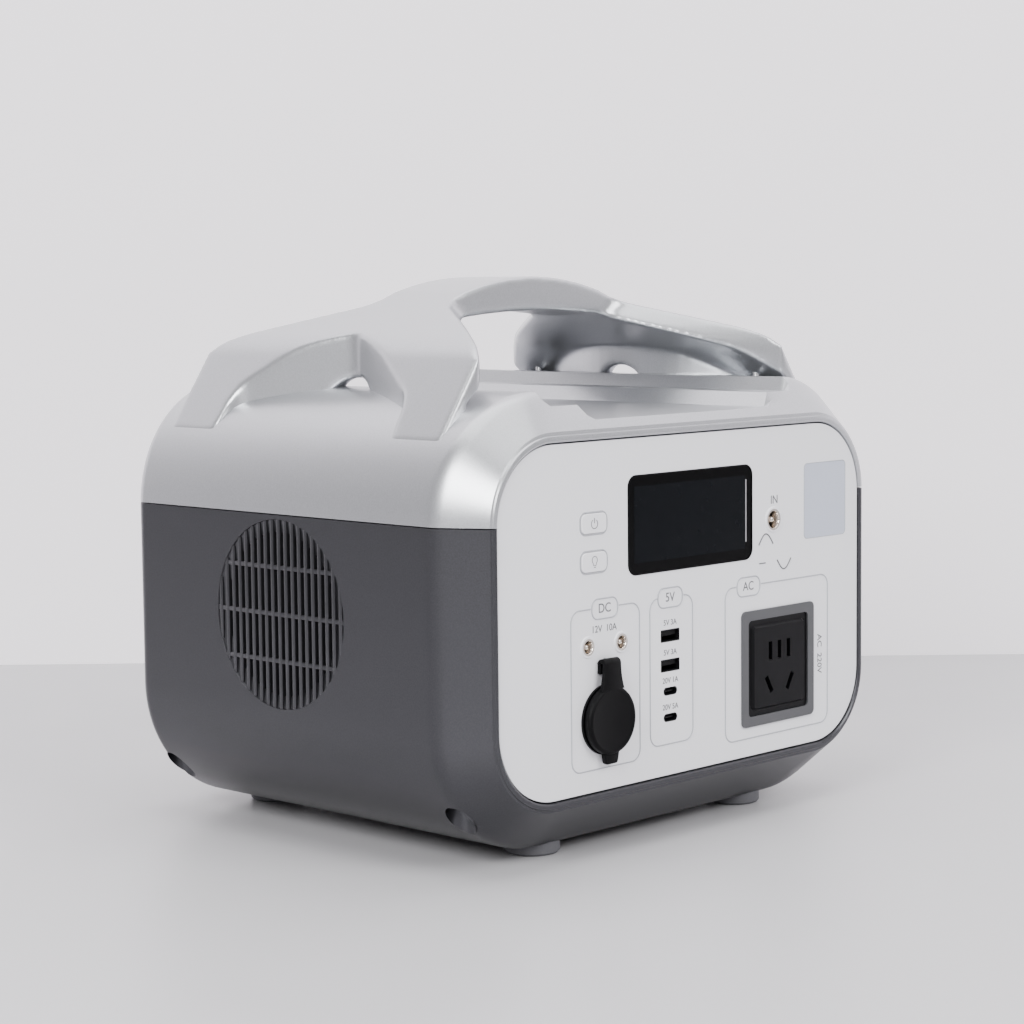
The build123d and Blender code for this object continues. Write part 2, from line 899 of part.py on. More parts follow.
# The vehicle-type socket: a deep cup with a flange, and a sprung contact at its floor
with BuildPart() as car_socket:
    cup_front = panel_face - car_flange_thickness
    round_prism(dc_x, car_z, car_flange_radius, cup_front, car_flange_thickness)
    round_prism(dc_x, car_z, car_shell_radius, panel_face, car_depth)
    round_prism(dc_x, car_z, car_bore_radius, cup_front, car_depth - car_floor, Mode.SUBTRACT)
car_socket.part.label = "car_socket"
export_step(car_socket.part, "parts/car_socket.step")

with BuildPart() as car_contact:
    contact_floor = cup_front + car_depth - car_floor
    round_prism(
        dc_x, car_z, car_contact_radius, contact_floor - car_contact_height, car_contact_height
    )
car_contact.part.label = "car_contact"
export_step(car_contact.part, "parts/car_contact.step")

# The rubber cap and the strap that it swings on
with BuildPart() as socket_cap:
    round_prism(dc_x, car_z, cap_radius, cap_face, cap_thickness)
    fillet(socket_cap.faces().sort_by(Axis.Y)[0].edges(), cap_edge_radius)
    plug_front = cap_face + cap_thickness
    round_prism(dc_x, car_z, cap_plug_radius, plug_front, cap_gap + cap_plug_depth)
    with BuildSketch(front_plane(cap_face + tab_set_back)):
        with Locations(spot(dc_x, car_z - cap_radius - tab_length / 2 + tab_root)):
            RectangleRounded(tab_width, tab_length + 2 * tab_root, tab_corner)
    extrude(amount=-tab_thickness)
    with BuildSketch(front_plane(cap_face)):
        with Locations(spot(dc_x, car_z + cap_radius - strap_root)):
            Rectangle(strap_width, 2 * strap_root)
    extrude(amount=-strap_thickness)
socket_cap.part.label = "socket_cap"
export_step(socket_cap.part, "parts/socket_cap.step")

with BuildPart() as cap_strap:
    with BuildSketch(Plane.YZ.offset(dc_x)) as loop_section:
        loop_bottom = hinge_z + strap_hinge_gap
        loop_top = loop_bottom + strap_height
        with BuildLine():
            Polyline(
                (cap_face, loop_bottom),
                (cap_face, loop_top),
                (panel_face, loop_top),
                (panel_face, panel_mid + strap_anchor_z - strap_pin_radius),
                (panel_face - strap_thickness, panel_mid + strap_anchor_z - strap_pin_radius),
                (panel_face - strap_thickness, loop_top - strap_thickness),
                (cap_face + strap_thickness, loop_top - strap_thickness),
                (cap_face + strap_thickness, loop_bottom),
                close=True,
            )
        make_face()
        top_corners = loop_section.vertices().group_by(Axis.Y)[-1].sort_by(Axis.X)[0]
        fillet(top_corners, strap_bend_radius)
    extrude(amount=strap_width / 2, both=True)
    round_prism(dc_x, strap_anchor_z, strap_pin_radius, panel_face, panel_thickness)
cap_strap.part.label = "cap_strap"
export_step(cap_strap.part, "parts/cap_strap.step")

# ---------------------------------------------------------------- data ports


def usb_port(z, width, height, corner, tongue):
    """A metal port shell behind the panel, with the contact tongue in its mouth."""
    rounded_prism(
        usb_x,
        z,
        width + 2 * usb_shell,
        height + 2 * usb_shell,
        corner + usb_shell,
        panel_back,
        usb_depth,
    )
    rounded_prism(usb_x, z, width, height, corner, panel_back, usb_bore_depth, Mode.SUBTRACT)
    tongue_front = panel_back + usb_bore_depth - usb_tongue_depth
    with BuildSketch(front_plane(tongue_front)) as tongue_section:
        with Locations(spot(usb_x, z)):
            Rectangle(width - 2 * usb_shell, tongue)
    extrude(tongue_section.sketch, amount=-usb_tongue_depth)


for name, z in (("usb_a_upper", usb_a_z[0]), ("usb_a_lower", usb_a_z[1])):
    with BuildPart() as usb_a:
        usb_port(z, usb_a_width, usb_a_height, usb_a_corner, usb_a_tongue)
    usb_a.part.label = name
    export_step(usb_a.part, "parts/" + name + ".step")

for name, z in (("usb_c_upper", usb_c_z[0]), ("usb_c_lower", usb_c_z[1])):
    with BuildPart() as usb_c:
        usb_port(z, usb_c_width, usb_c_height, usb_c_corner, usb_c_tongue)
    usb_c.part.label = name
    export_step(usb_c.part, "parts/" + name + ".step")

with BuildPart() as usb_board:
    rounded_prism(
        usb_x,
        (usb_a_z[0] + usb_c_z[1]) / 2,
        usb_a_width + usb_board_growth,
        usb_a_z[0] - usb_c_z[1] + usb_board_growth,
        board_corner,
        panel_back + usb_depth,
        board_thickness,
    )
usb_board.part.label = "usb_board"
export_step(usb_board.part, "parts/usb_board.step")

# ---------------------------------------------------------------- mains outlet

with BuildPart() as ac_frame:
    frame_front = panel_face - ac_frame_proud
    frame = (ac_x, ac_z, ac_frame_width, ac_frame_width, ac_frame_radius)
    rounded_prism(*frame, frame_front, ac_frame_proud)
    window = (ac_x, ac_z, ac_insert_width, ac_insert_width, ac_insert_radius)
    rounded_prism(*window, frame_front, through, Mode.SUBTRACT)
ac_frame.part.label = "ac_frame"
export_step(ac_frame.part, "parts/ac_frame.step")



def outlet_pattern(front, width, height):
    """Three upright marks in a row, and a slanted pair below them that opens upwards."""
    with BuildSketch(front_plane(front)) as pattern:
        with Locations(spot(ac_x, ac_z + ac_row_z)):
            with GridLocations(ac_row_pitch, 0, 3, 1):
                Rectangle(width, height)
        for side in (-1, 1):
            place = spot(ac_x + side * ac_slant_x, ac_z + ac_slant_z)
            with Locations(Location(place, -side * ac_slant_tilt)):
                Rectangle(width, height)
    return pattern.sketch


# A moulded insert with a raised face and slots for two-pin and three-pin plugs
with BuildPart() as ac_socket:
    insert_front = panel_face
    rounded_prism(
        ac_x, ac_z, ac_insert_width, ac_insert_width, ac_insert_radius, insert_front, ac_depth
    )
    with BuildSketch(front_plane(insert_front)):
        with Locations(spot(ac_x, ac_z)):
            RectangleRounded(ac_face_width, ac_face_width, ac_insert_radius)
    extrude(amount=ac_face_rise, taper=ac_face_taper)
    slots = outlet_pattern(insert_front - ac_face_rise, ac_slot_width, ac_slot_height)
    extrude(slots, amount=-ac_slot_depth, mode=Mode.SUBTRACT)
ac_socket.part.label = "ac_socket"
export_step(ac_socket.part, "parts/ac_socket.step")

# Sprung brass leaves at the bottom of the five slots
with BuildPart() as ac_contacts:
    leaf_front = insert_front - ac_face_rise + ac_slot_depth - ac_contact_length
    leaves = outlet_pattern(leaf_front, ac_contact_thickness, ac_contact_height)
    extrude(leaves, amount=-ac_contact_length)
ac_contacts.part.label = "ac_contacts"
export_step(ac_contacts.part, "parts/ac_contacts.step")

# ---------------------------------------------------------------- fan

fan_outer = -inner_half_width + fan_gap
fan_plane = Plane.YZ.offset(fan_outer)

with BuildPart() as fan_frame:
    with BuildSketch(fan_plane):
        with Locations((0, vent_height)):
            RectangleRounded(fan_size, fan_size, fan_corner)
            Circle(fan_bore_radius, mode=Mode.SUBTRACT)
            with GridLocations(2 * fan_hole_offset, 2 * fan_hole_offset, 2, 2):
                Circle(fan_hole_radius, mode=Mode.SUBTRACT)
    extrude(amount=fan_depth)
    with BuildSketch(Plane.YZ.offset(fan_outer + fan_depth - fan_strut_depth)):
        with Locations((0, vent_height)):
            Circle(fan_hub_radius)
            with PolarLocations(0, 4, start_angle=45):
                with Locations((fan_bore_radius / 2, 0)):
                    Rectangle(fan_bore_radius + 2, fan_strut_width)
            Circle(fan_axle_radius + fan_axle_clearance, mode=Mode.SUBTRACT)
    extrude(amount=fan_strut_depth)
fan_frame.part.label = "fan_frame"
export_step(fan_frame.part, "parts/fan_frame.step")

with BuildPart() as fan_rotor:
    hub_depth = fan_depth - fan_strut_depth - 2 * fan_hub_gap
    with BuildSketch(Plane.YZ.offset(fan_outer + fan_hub_gap)):
        with Locations((0, vent_height)):
            Circle(fan_hub_radius)
    extrude(amount=hub_depth)
    blade_length = fan_blade_radius - fan_hub_radius + 1
    blade_x = fan_outer + fan_hub_gap + hub_depth / 2
    with Locations(Plane.YZ.offset(blade_x)):
        with Locations((0, vent_height)):
            with PolarLocations(fan_blade_radius - blade_length / 2, fan_blades):
                Box(
                    blade_length,
                    fan_blade_thickness,
                    fan_blade_chord,
                    rotation=(fan_blade_pitch, 0, 0),
                )
    with BuildSketch(Plane.YZ.offset(fan_outer + fan_hub_gap + hub_depth)):
        with Locations((0, vent_height)):
            Circle(fan_axle_radius)
    extrude(amount=fan_hub_gap + fan_strut_depth)
fan_rotor.part.label = "fan_rotor"
export_step(fan_rotor.part, "parts/fan_rotor.step")

# ---------------------------------------------------------------- feet

foot_names = ("foot_front_left", "foot_rear_left", "foot_front_right", "foot_rear_right")

for name, (x, y) in zip(foot_names, foot_spots):
    with BuildPart() as foot:
        with BuildSketch():
            with Locations((x, y)):
                Circle(foot_radius)
        extrude(amount=body_bottom + foot_embed)
        chamfer(foot.faces().sort_by(Axis.Z)[0].edges(), foot_chamfer)
        with BuildSketch():
            with Locations((x, y)):
                Circle(foot_screw_head)
        extrude(amount=foot_counterbore, mode=Mode.SUBTRACT)
        with BuildSketch():
            with Locations((x, y)):
                Circle(foot_screw_radius)
        extrude(amount=body_bottom + foot_embed, mode=Mode.SUBTRACT)
    foot.part.label = name
    export_step(foot.part, "parts/" + name + ".step")

with BuildPart() as foot_screws:
    with BuildSketch(Plane.XY.offset(foot_counterbore - foot_head_height)):
        with Locations(*foot_spots):
            Circle(foot_screw_head - foot_head_clearance)
    extrude(amount=foot_head_height)
    with BuildSketch(Plane.XY.offset(foot_counterbore)):
        with Locations(*foot_spots):
            Circle(foot_screw_radius)
    extrude(amount=inner_bottom - foot_screw_short - foot_counterbore)
foot_screws.part.label = "foot_screws"
export_step(foot_screws.part, "parts/foot_screws.step")

# ---------------------------------------------------------------- battery

cells_middle = (battery_x, battery_mid_z)

with BuildPart() as battery_tray:
    with BuildSketch(Plane.XY.offset(inner_bottom)):
        with Locations((0, battery_mid_y)):
            Rectangle(2 * tray_half_width, cell_length)
    extrude(amount=holder_bottom - inner_bottom)
battery_tray.part.label = "battery_tray"
export_step(battery_tray.part, "parts/battery_tray.step")

holder_ys = {"holder_front": battery_front, "holder_rear": battery_back - holder_thickness}

for name, y in holder_ys.items():
    with BuildPart() as holder:
        with BuildSketch(front_plane(y)):
            with Locations(cells_middle):
                RectangleRounded(
                    battery_width + 2 * holder_margin,
                    battery_height + 2 * holder_margin,
                    holder_corner,
                )
                with GridLocations(cell_pitch, cell_pitch, cell_columns, cell_rows):
                    Circle(cell_radius + holder_clearance, mode=Mode.SUBTRACT)
        extrude(amount=-holder_thickness)
    holder.part.label = name
    export_step(holder.part, "parts/" + name + ".step")

with BuildPart() as battery_cells:
    with BuildSketch(front_plane(battery_front)):
        with Locations(cells_middle):
            with GridLocations(cell_pitch, cell_pitch, cell_columns, cell_rows):
                Circle(cell_radius)
    extrude(amount=-cell_length)
battery_cells.part.label = "battery_cells"
export_step(battery_cells.part, "parts/battery_cells.step")

with BuildPart() as nickel_strips:
    with BuildSketch(front_plane(battery_front - strip_thickness)):
        with Locations(cells_middle):
            with GridLocations(0, cell_pitch, 1, cell_rows):
                Rectangle(battery_width - cell_pitch + strip_width, strip_width)
    extrude(amount=-strip_thickness)
    with BuildSketch(front_plane(battery_back)):
        with Locations(cells_middle):
            with GridLocations(0, cell_pitch, 1, cell_rows):
                Rectangle(battery_width - cell_pitch + strip_width, strip_width)
    extrude(amount=-strip_thickness)
nickel_strips.part.label = "nickel_strips"
export_step(nickel_strips.part, "parts/nickel_strips.step")

bms_y = battery_back + strip_thickness

with BuildPart() as bms_pad:
    with BuildSketch(front_plane(bms_y)):
        with Locations(cells_middle):
            RectangleRounded(
                bms_width - 2 * bms_pad_inset, bms_height - 2 * bms_pad_inset, board_corner
            )
    extrude(amount=-bms_pad_thickness)
bms_pad.part.label = "bms_pad"
export_step(bms_pad.part, "parts/bms_pad.step")

with BuildPart() as bms_board:
    with BuildSketch(front_plane(bms_y + bms_pad_thickness)):
        with Locations(cells_middle):
            RectangleRounded(bms_width, bms_height, board_corner)
    extrude(amount=-board_thickness)
bms_board.part.label = "bms_board"
export_step(bms_board.part, "parts/bms_board.step")

# ---------------------------------------------------------------- inverter

with BuildPart() as inverter_bracket:
    with BuildSketch(Plane.XY.offset(bracket_z)):
        with Locations((battery_x, battery_mid_y)):
            Rectangle(inverter_width + 2 * bracket_side, cell_length)
    extrude(amount=bracket_thickness)
    with BuildSketch(Plane.XY.offset(bracket_z + bracket_thickness)):
        with Locations((battery_x, battery_mid_y)):
            with GridLocations(
                inverter_width - 2 * standoff_inset, inverter_depth - 2 * standoff_inset, 2, 2
            ):
                Circle(standoff_radius)
    extrude(amount=standoff_height)
inverter_bracket.part.label = "inverter_bracket"
export_step(inverter_bracket.part, "parts/inverter_bracket.step")

with BuildPart() as inverter_board:
    with BuildSketch(Plane.XY.offset(inverter_z)):
        with Locations((battery_x, battery_mid_y)):
            RectangleRounded(inverter_width, inverter_depth, board_corner)
    extrude(amount=board_thickness)
inverter_board.part.label = "inverter_board"
export_step(inverter_board.part, "parts/inverter_board.step")

sink_width = sink_fin_pitch * (sink_fins - 1) + sink_fin_thickness
sink_spots = [(battery_x + side * inverter_width / 3, battery_mid_y) for side in (-1, 1)]

with BuildPart() as heat_sinks:
    with BuildSketch(Plane.XY.offset(inverter_top)):
        with Locations(*sink_spots):
            Rectangle(sink_width, sink_length)
    extrude(amount=sink_base)
    with BuildSketch(Plane.XY.offset(inverter_top + sink_base)):
        with Locations(*sink_spots):
            with GridLocations(sink_fin_pitch, 0, sink_fins, 1):
                Rectangle(sink_fin_thickness, sink_length)
    extrude(amount=sink_height - sink_base)
heat_sinks.part.label = "heat_sinks"
export_step(heat_sinks.part, "parts/heat_sinks.step")

transformer_spot = (battery_x - core_radius - capacitor_gap, battery_mid_y)

with BuildPart() as transformer:
    with BuildSketch(Plane.XY.offset(inverter_top)):
        with Locations(transformer_spot):
            Circle(core_radius)
            Circle(core_hole, mode=Mode.SUBTRACT)
    extrude(amount=core_height)
    fillet(transformer.edges().filter_by(GeomType.CIRCLE), core_edge_radius)
transformer.part.label = "transformer"
export_step(transformer.part, "parts/transformer.step")

with BuildPart() as capacitors:
    with BuildSketch(Plane.XY.offset(inverter_top)):
        with Locations((battery_x + capacitor_radius + capacitor_offset, battery_mid_y)):
            with GridLocations(0, 2 * capacitor_radius + capacitor_gap, 1, 3):
                Circle(capacitor_radius)
    extrude(amount=capacitor_height)
    chamfer(capacitors.faces().group_by(Axis.Z)[-1].edges(), capacitor_chamfer)
capacitors.part.label = "capacitors"
export_step(capacitors.part, "parts/capacitors.step")
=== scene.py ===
# %% [markdown]
# # A portable power station in Blender
# The engineering model already holds every piece at its true size and place. This lesson loads
# that frame and then rebuilds the pieces whose looks depend on soft, flowing surfaces: the two
# moulded shells, the arch handle, the round vents and the rubber cap. The rest keeps its
# engineering shape and gets a proper finish.

# %% Load the frame
import math

import bmesh
import bpy
from mathutils import Matrix, Vector


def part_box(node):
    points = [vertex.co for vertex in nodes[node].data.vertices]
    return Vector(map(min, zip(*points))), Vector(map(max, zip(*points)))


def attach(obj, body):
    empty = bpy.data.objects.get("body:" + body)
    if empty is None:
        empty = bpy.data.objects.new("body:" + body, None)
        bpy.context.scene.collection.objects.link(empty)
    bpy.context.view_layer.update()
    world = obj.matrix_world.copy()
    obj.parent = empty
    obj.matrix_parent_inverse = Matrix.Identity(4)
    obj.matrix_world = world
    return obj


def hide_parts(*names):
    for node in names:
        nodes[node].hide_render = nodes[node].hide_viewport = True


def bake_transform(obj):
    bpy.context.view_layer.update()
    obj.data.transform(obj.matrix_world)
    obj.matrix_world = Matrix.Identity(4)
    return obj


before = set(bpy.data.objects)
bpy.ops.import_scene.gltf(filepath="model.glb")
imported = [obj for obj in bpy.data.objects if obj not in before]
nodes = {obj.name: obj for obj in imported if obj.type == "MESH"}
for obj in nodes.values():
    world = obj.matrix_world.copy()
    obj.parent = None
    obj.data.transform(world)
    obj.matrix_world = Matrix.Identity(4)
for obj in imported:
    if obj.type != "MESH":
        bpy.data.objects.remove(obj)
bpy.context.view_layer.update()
mm = 0.001

# %% [markdown]
# ## Sizes read from the frame
# Every later step builds on these: the body's half width and half depth, the seam between the
# shells, and the panel that sits in the front. They come from the boxes of the nodes, so the
# looks follow the engineering.

# %% Measure the frame
lower_low, lower_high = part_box("lower_shell")
panel_low, panel_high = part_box("front_panel")
handle_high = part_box("handle")[1]

half_width = lower_high[0]
half_depth = lower_high[1]
body_bottom = lower_low[2]
seam = lower_high[2]
body_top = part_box("upper_shell")[1][2]
panel_face = panel_low[1]
panel_half = panel_high[0]
rear_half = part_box("rear_panel")[1][0]
panel_mid = (panel_low[2] + panel_high[2]) / 2
print("body half width and depth", round(half_width / mm, 1), round(half_depth / mm, 1))

# %% [markdown]
# ## Small tools
# Blender keeps a mesh as points and faces. These helpers make a mesh object, round the corners of
# an outline, pull an outline into a solid block, turn a profile about an axis, and cut one solid
# with another. The same shapes could be made by hand with the modelling tools, but a helper gives
# the same result every time.

# %% Tools for meshes
def mesh_piece(name, points, faces):
    """A new mesh object made of points and faces."""
    mesh = bpy.data.meshes.new(name)
    mesh.from_pydata([tuple(p) for p in points], [], faces)
    mesh.update()
    piece = bpy.data.objects.new(name, mesh)
    bpy.context.scene.collection.objects.link(piece)
    return piece


def outward(piece):
    """Turns every face of a closed mesh outwards."""
    soup = bmesh.new()
    soup.from_mesh(piece.data)
    bmesh.ops.recalc_face_normals(soup, faces=soup.faces)
    soup.to_mesh(piece.data)
    soup.free()
    return piece


def smooth(piece, crease=30):
    """Smooth shading with crisp edges where faces meet by more than crease degrees."""
    piece.data.polygons.foreach_set("use_smooth", [True] * len(piece.data.polygons))
    piece.data.set_sharp_from_angle(angle=math.radians(crease))
    return piece


# %% Tools for outlines and solids
def rounded(corners, steps=8):
    """The outline through corners (x, y, radius), with an arc at each corner that has a radius."""
    outline = []
    for i, (x, y, radius) in enumerate(corners):
        corner = Vector((x, y))
        if not radius:
            outline.append(corner)
            continue
        back = (Vector(corners[i - 1][:2]) - corner).normalized()
        ahead = (Vector(corners[(i + 1) % len(corners)][:2]) - corner).normalized()
        half = back.angle(ahead) / 2
        centre = corner + (back + ahead).normalized() * (radius / math.sin(half))
        first = corner + back * (radius / math.tan(half)) - centre
        last = corner + ahead * (radius / math.tan(half)) - centre
        turn = first.angle_signed(last)
        for k in range(steps + 1):
            outline.append(centre + Matrix.Rotation(-turn * k / steps, 2) @ first)
    return outline


def lift(axis, u, v, w):
    """A point from its two outline coordinates and its place w along the axis."""
    return {"X": (w, u, v), "Y": (u, w, v), "Z": (u, v, w)}[axis]


def block(name, outline, axis, low, high):
    """A solid made by pulling an outline along an axis."""
    count = len(outline)
    points = [lift(axis, u, v, w) for w in (low, high) for u, v in outline]
    faces = [list(range(count)), list(range(2 * count - 1, count - 1, -1))]
    for i in range(count):
        j = (i + 1) % count
        faces.append([i, j, count + j, count + i])
    return outward(mesh_piece(name, points, faces))


def turned(name, profile, centre, axis, steps=72):
    """A profile of (radius, place along the axis) turned about an axis through centre."""
    points = []
    for radius, place in profile:
        for k in range(steps):
            angle = 2 * math.pi * k / steps
            spot = Vector(lift(axis, radius * math.cos(angle), radius * math.sin(angle), place))
            points.append(spot + Vector(centre))
    faces = []
    for i in range(len(profile) - 1):
        for k in range(steps):
            j = (k + 1) % steps
            faces.append([i * steps + k, i * steps + j, (i + 1) * steps + j, (i + 1) * steps + k])
    return mesh_piece(name, points, faces)


# %% Tools that change a solid
def bake(piece):
    """Applies the modifiers of a piece to its mesh."""
    graph = bpy.context.evaluated_depsgraph_get()
    piece.data = bpy.data.meshes.new_from_object(piece.evaluated_get(graph))
    piece.modifiers.clear()
    return piece


def cut(piece, tool, operation="DIFFERENCE"):
    """Cuts a piece with a tool, and throws the tool away."""
    change = piece.modifiers.new("cut", "BOOLEAN")
    change.operation = operation
    change.object = tool
    change.solver = "EXACT"
    bake(piece)
    bpy.data.objects.remove(tool)
    return piece


def bevelled(piece, width, segments=2, angle=30):
    """Rounds the sharp edges of a piece."""
    edge = piece.modifiers.new("edge", "BEVEL")
    edge.width = width
    edge.segments = segments
    edge.limit_method = "ANGLE"
    edge.angle_limit = math.radians(angle)
    return bake(piece)


# %% [markdown]
# ## Finishes
# The shells are moulded plastic under a metallic paint. Fine flakes in the paint catch the light
# one by one, so the surface sparkles a little. A picture could be wrapped round the shells, but a
# noise stays sharp close up: here a very fine one tips the normal and varies the roughness. The
# panel is a satin moulding, and the rubber has a faint grain. Each finish is a Principled shader,
# and what is even all over goes on its own socket.

# %% Material maker
coat_roughness = 0.12
roughness_spread = 0.06
least_roughness = 0.02


def finish(
    name, colour, roughness, metallic=0.0, grain=0.0, grain_size=1.0, coat=0.0, vary=0.0, **extra
):
    """A Principled material with a procedural grain of grain_size mm, up to grain mm deep."""
    material = bpy.data.materials.new(name)
    material.use_nodes = True
    tree = material.node_tree
    shader = tree.nodes["Principled BSDF"]
    shader.inputs["Base Color"].default_value = (*colour, 1)
    shader.inputs["Roughness"].default_value = roughness
    shader.inputs["Metallic"].default_value = metallic
    shader.inputs["Coat Weight"].default_value = coat
    shader.inputs["Coat Roughness"].default_value = coat_roughness
    for key, value in extra.items():
        shader.inputs[key.replace("_", " ")].default_value = value
    place = tree.nodes.new("ShaderNodeTexCoord")
    noise = tree.nodes.new("ShaderNodeTexNoise")
    noise.inputs["Scale"].default_value = 1 / (grain_size * mm)
    noise.inputs["Detail"].default_value = 2
    tree.links.new(place.outputs["Object"], noise.inputs["Vector"])
    if grain:
        bump = tree.nodes.new("ShaderNodeBump")
        bump.inputs["Distance"].default_value = grain * mm
        tree.links.new(noise.outputs["Fac"], bump.inputs["Height"])
        tree.links.new(bump.outputs["Normal"], shader.inputs["Normal"])
    spread = tree.nodes.new("ShaderNodeMapRange")
    spread.inputs["To Min"].default_value = max(roughness - roughness_spread, least_roughness)
    spread.inputs["To Max"].default_value = roughness + roughness_spread
    tree.links.new(noise.outputs["Fac"], spread.inputs["Value"])
    tree.links.new(spread.outputs["Result"], shader.inputs["Roughness"])
    if vary:
        # Inputs 6 and 7 and output 2 of a Mix node are the ones for colours.
        mix = tree.nodes.new("ShaderNodeMix")
        mix.data_type = "RGBA"
        mix.inputs[6].default_value = (*[c * (1 - vary) for c in colour], 1)
        mix.inputs[7].default_value = (*[min(c * (1 + vary), 1) for c in colour], 1)
        tree.links.new(noise.outputs["Fac"], mix.inputs["Factor"])
        tree.links.new(mix.outputs[2], shader.inputs["Base Color"])
    return material


# %% The finishes
silver_paint = finish(
    "silver_paint", (0.50, 0.51, 0.53), 0.32,
    metallic=0.92, grain=0.014, grain_size=0.6, coat=0.15, vary=0.16,
)
dark_paint = finish(
    "dark_paint", (0.058, 0.058, 0.064), 0.33,
    metallic=0.85, grain=0.014, grain_size=0.6, coat=0.10, vary=0.2,
)
panel_satin = finish(
    "panel_satin", (0.78, 0.78, 0.81), 0.45,
    grain=0.002, grain_size=0.8, coat=0.05, vary=0.01,
)
button_satin = finish("button_satin", (0.80, 0.80, 0.83), 0.42, grain=0.002, grain_size=0.8, vary=0.01)
black_glass = finish("black_glass", (0.0008, 0.0008, 0.001), 0.12, grain_size=40.0, IOR=1.16)
dim_display = finish("dim_display", (0.002, 0.0028, 0.004), 0.25, grain_size=3.0, vary=0.2, IOR=1.16)
frosted_lens = finish("frosted_lens", (0.46, 0.49, 0.58), 0.42, grain=0.01, grain_size=1.6, vary=0.03)
soft_rubber = finish(
    "soft_rubber", (0.0012, 0.0012, 0.0016), 0.5,
    grain=0.012, grain_size=0.7, vary=0.2, IOR=1.2,
)
foot_rubber = finish("foot_rubber", (0.10, 0.10, 0.11), 0.60, grain=0.02, grain_size=0.8, vary=0.1)
outlet_black = finish(
    "outlet_black", (0.0025, 0.0025, 0.0032), 0.36,
    grain=0.004, grain_size=0.6, vary=0.1, IOR=1.22,
)
frame_grey = finish("frame_grey", (0.060, 0.061, 0.066), 0.45, grain=0.004, grain_size=0.6, vary=0.05)
jack_metal = finish("jack_metal", (0.66, 0.61, 0.56), 0.16, metallic=1.0, grain_size=0.6)
plated_steel = finish("plated_steel", (0.55, 0.55, 0.56), 0.25, metallic=1.0, grain_size=0.6, vary=0.05)
# The raised lines are moulded in the panel's own colour; this darker grey is painted shade along them.
line_shade_grey = finish("line_shade_grey", (0.36, 0.37, 0.40), 0.5)
ink_grey = finish("ink_grey", (0.09, 0.092, 0.10), 0.6)
board_green = finish("board_green", (0.02, 0.12, 0.06), 0.4, grain=0.01, grain_size=1.5, vary=0.3)
cell_sleeve = finish(
    "cell_sleeve", (0.02, 0.16, 0.30), 0.3,
    grain=0.01, grain_size=4.0, coat=0.2, vary=0.1,
)
bare_aluminium = finish(
    "bare_aluminium", (0.72, 0.72, 0.74), 0.35,
    metallic=1.0, grain=0.01, grain_size=1.2, vary=0.05,
)
# Black plastic, made darker still so the slots of the vents read as deep shade: partly painted shade.
black_moulding_and_vent_shade = finish(
    "black_moulding_and_vent_shade", (0.004, 0.004, 0.004), 0.7,
    grain=0.01, grain_size=0.8, vary=0.2, IOR=1.2,
)
grey_foam = finish("grey_foam", (0.08, 0.08, 0.085), 0.9, grain=0.1, grain_size=0.8, vary=0.2)
print("finishes made:", len(bpy.data.materials))


# %% [markdown]
# ## Dress the engineering pieces
# These nodes already have their real shape: the panel, the buttons, the feet, the outlet, the
# screws and all that is inside. They could be built again as meshes, but each one only needs its
# finish in its material slot.

# %% Finishes for the nodes
node_finishes = {
    panel_satin: ["front_panel"],
    dark_paint: ["rear_panel"],
    button_satin: ["power_button", "light_button"],
    black_glass: ["lcd_window"],
    frosted_lens: ["led_lens"],
    foot_rubber: ["foot_front_left", "foot_rear_left", "foot_front_right", "foot_rear_right"],
    outlet_black: ["ac_socket", "car_socket", "in_jack", "dc_jack_left", "dc_jack_right"],
    frame_grey: ["ac_frame"],
    jack_metal: ["ac_contacts", "car_contact"],
    plated_steel: [
        "shell_screws", "handle_screws", "foot_screws", "nickel_strips",
    ],
    board_green: ["usb_board", "led_board", "button_board", "bms_board", "inverter_board"],
    cell_sleeve: ["battery_cells"],
    bare_aluminium: ["inverter_bracket", "heat_sinks"],
    black_moulding_and_vent_shade: [
        "fan_frame", "fan_rotor", "battery_tray", "holder_front", "holder_rear",
        "lcd_module", "transformer", "capacitors",
    ],
    grey_foam: ["bms_pad"],
}


def dress(piece, material):
    """Gives a piece one material."""
    if not piece.material_slots:
        piece.data.materials.append(material)
    for slot in piece.material_slots:
        slot.material = material
    return piece


for material, names in node_finishes.items():
    for name in names:
        dress(nodes[name], material)
print("nodes dressed:", sum(len(names) for names in node_finishes.values()))


# %% [markdown]
# ## The shells' skin
# The body is a tunnel with rounded corners, whose front and rear turn inwards in a slanted band
# that ends in a rounded lip. I build it as rings across the depth. A ring starts as the lip's
# outline and widens steadily with depth, and the body's own section holds it back with a soft
# limit, which gives the broad rounded edge between the band and the sides. The stepped valley in
# the top is a second limit, a sharp one.

# %% Numbers of the skin
band_depth = 21 * mm
lip_width = 3 * mm
lip_rise = 3.5 * mm
lip_radius = 34 * mm
lip_low = panel_low[2] - lip_rise
lip_high = panel_high[2] + lip_rise
top_rise = 17 * mm
low_radius = 56 * mm
shoulder_radius = 52 * mm
crease_rise = 25.5 * mm
low_centre = (half_width - low_radius, body_bottom + low_radius)
shoulder_centre = (half_width - shoulder_radius, body_top - shoulder_radius)
band_softness = 2.6 * mm
deck_softness = 1.4 * mm
arc_steps = 22
# The valley's edges: how far each is from the middle, and how high over the valley's floor, in mm.
deck_steps = [(80, 12.0), (77, 6.0), (61.5, 6.0), (56, 0.0), (38, 0.0), (19, 0.0), (0, 0.0)]
deck_floor = body_top - deck_steps[0][1] * mm
seam_gap = 0.25 * mm
most_widening = 2.2
flat_enough = 1e-7
print("lip from", round(lip_low / mm, 1), "to", round(lip_high / mm, 1))


# %% The body's own section as a soft limit
def soft_least(a, b, softness):
    """The lesser of a and b, with a rounded changeover."""
    overlap = max(softness - abs(a - b), 0) / softness
    return min(a, b) - overlap * overlap * softness / 4


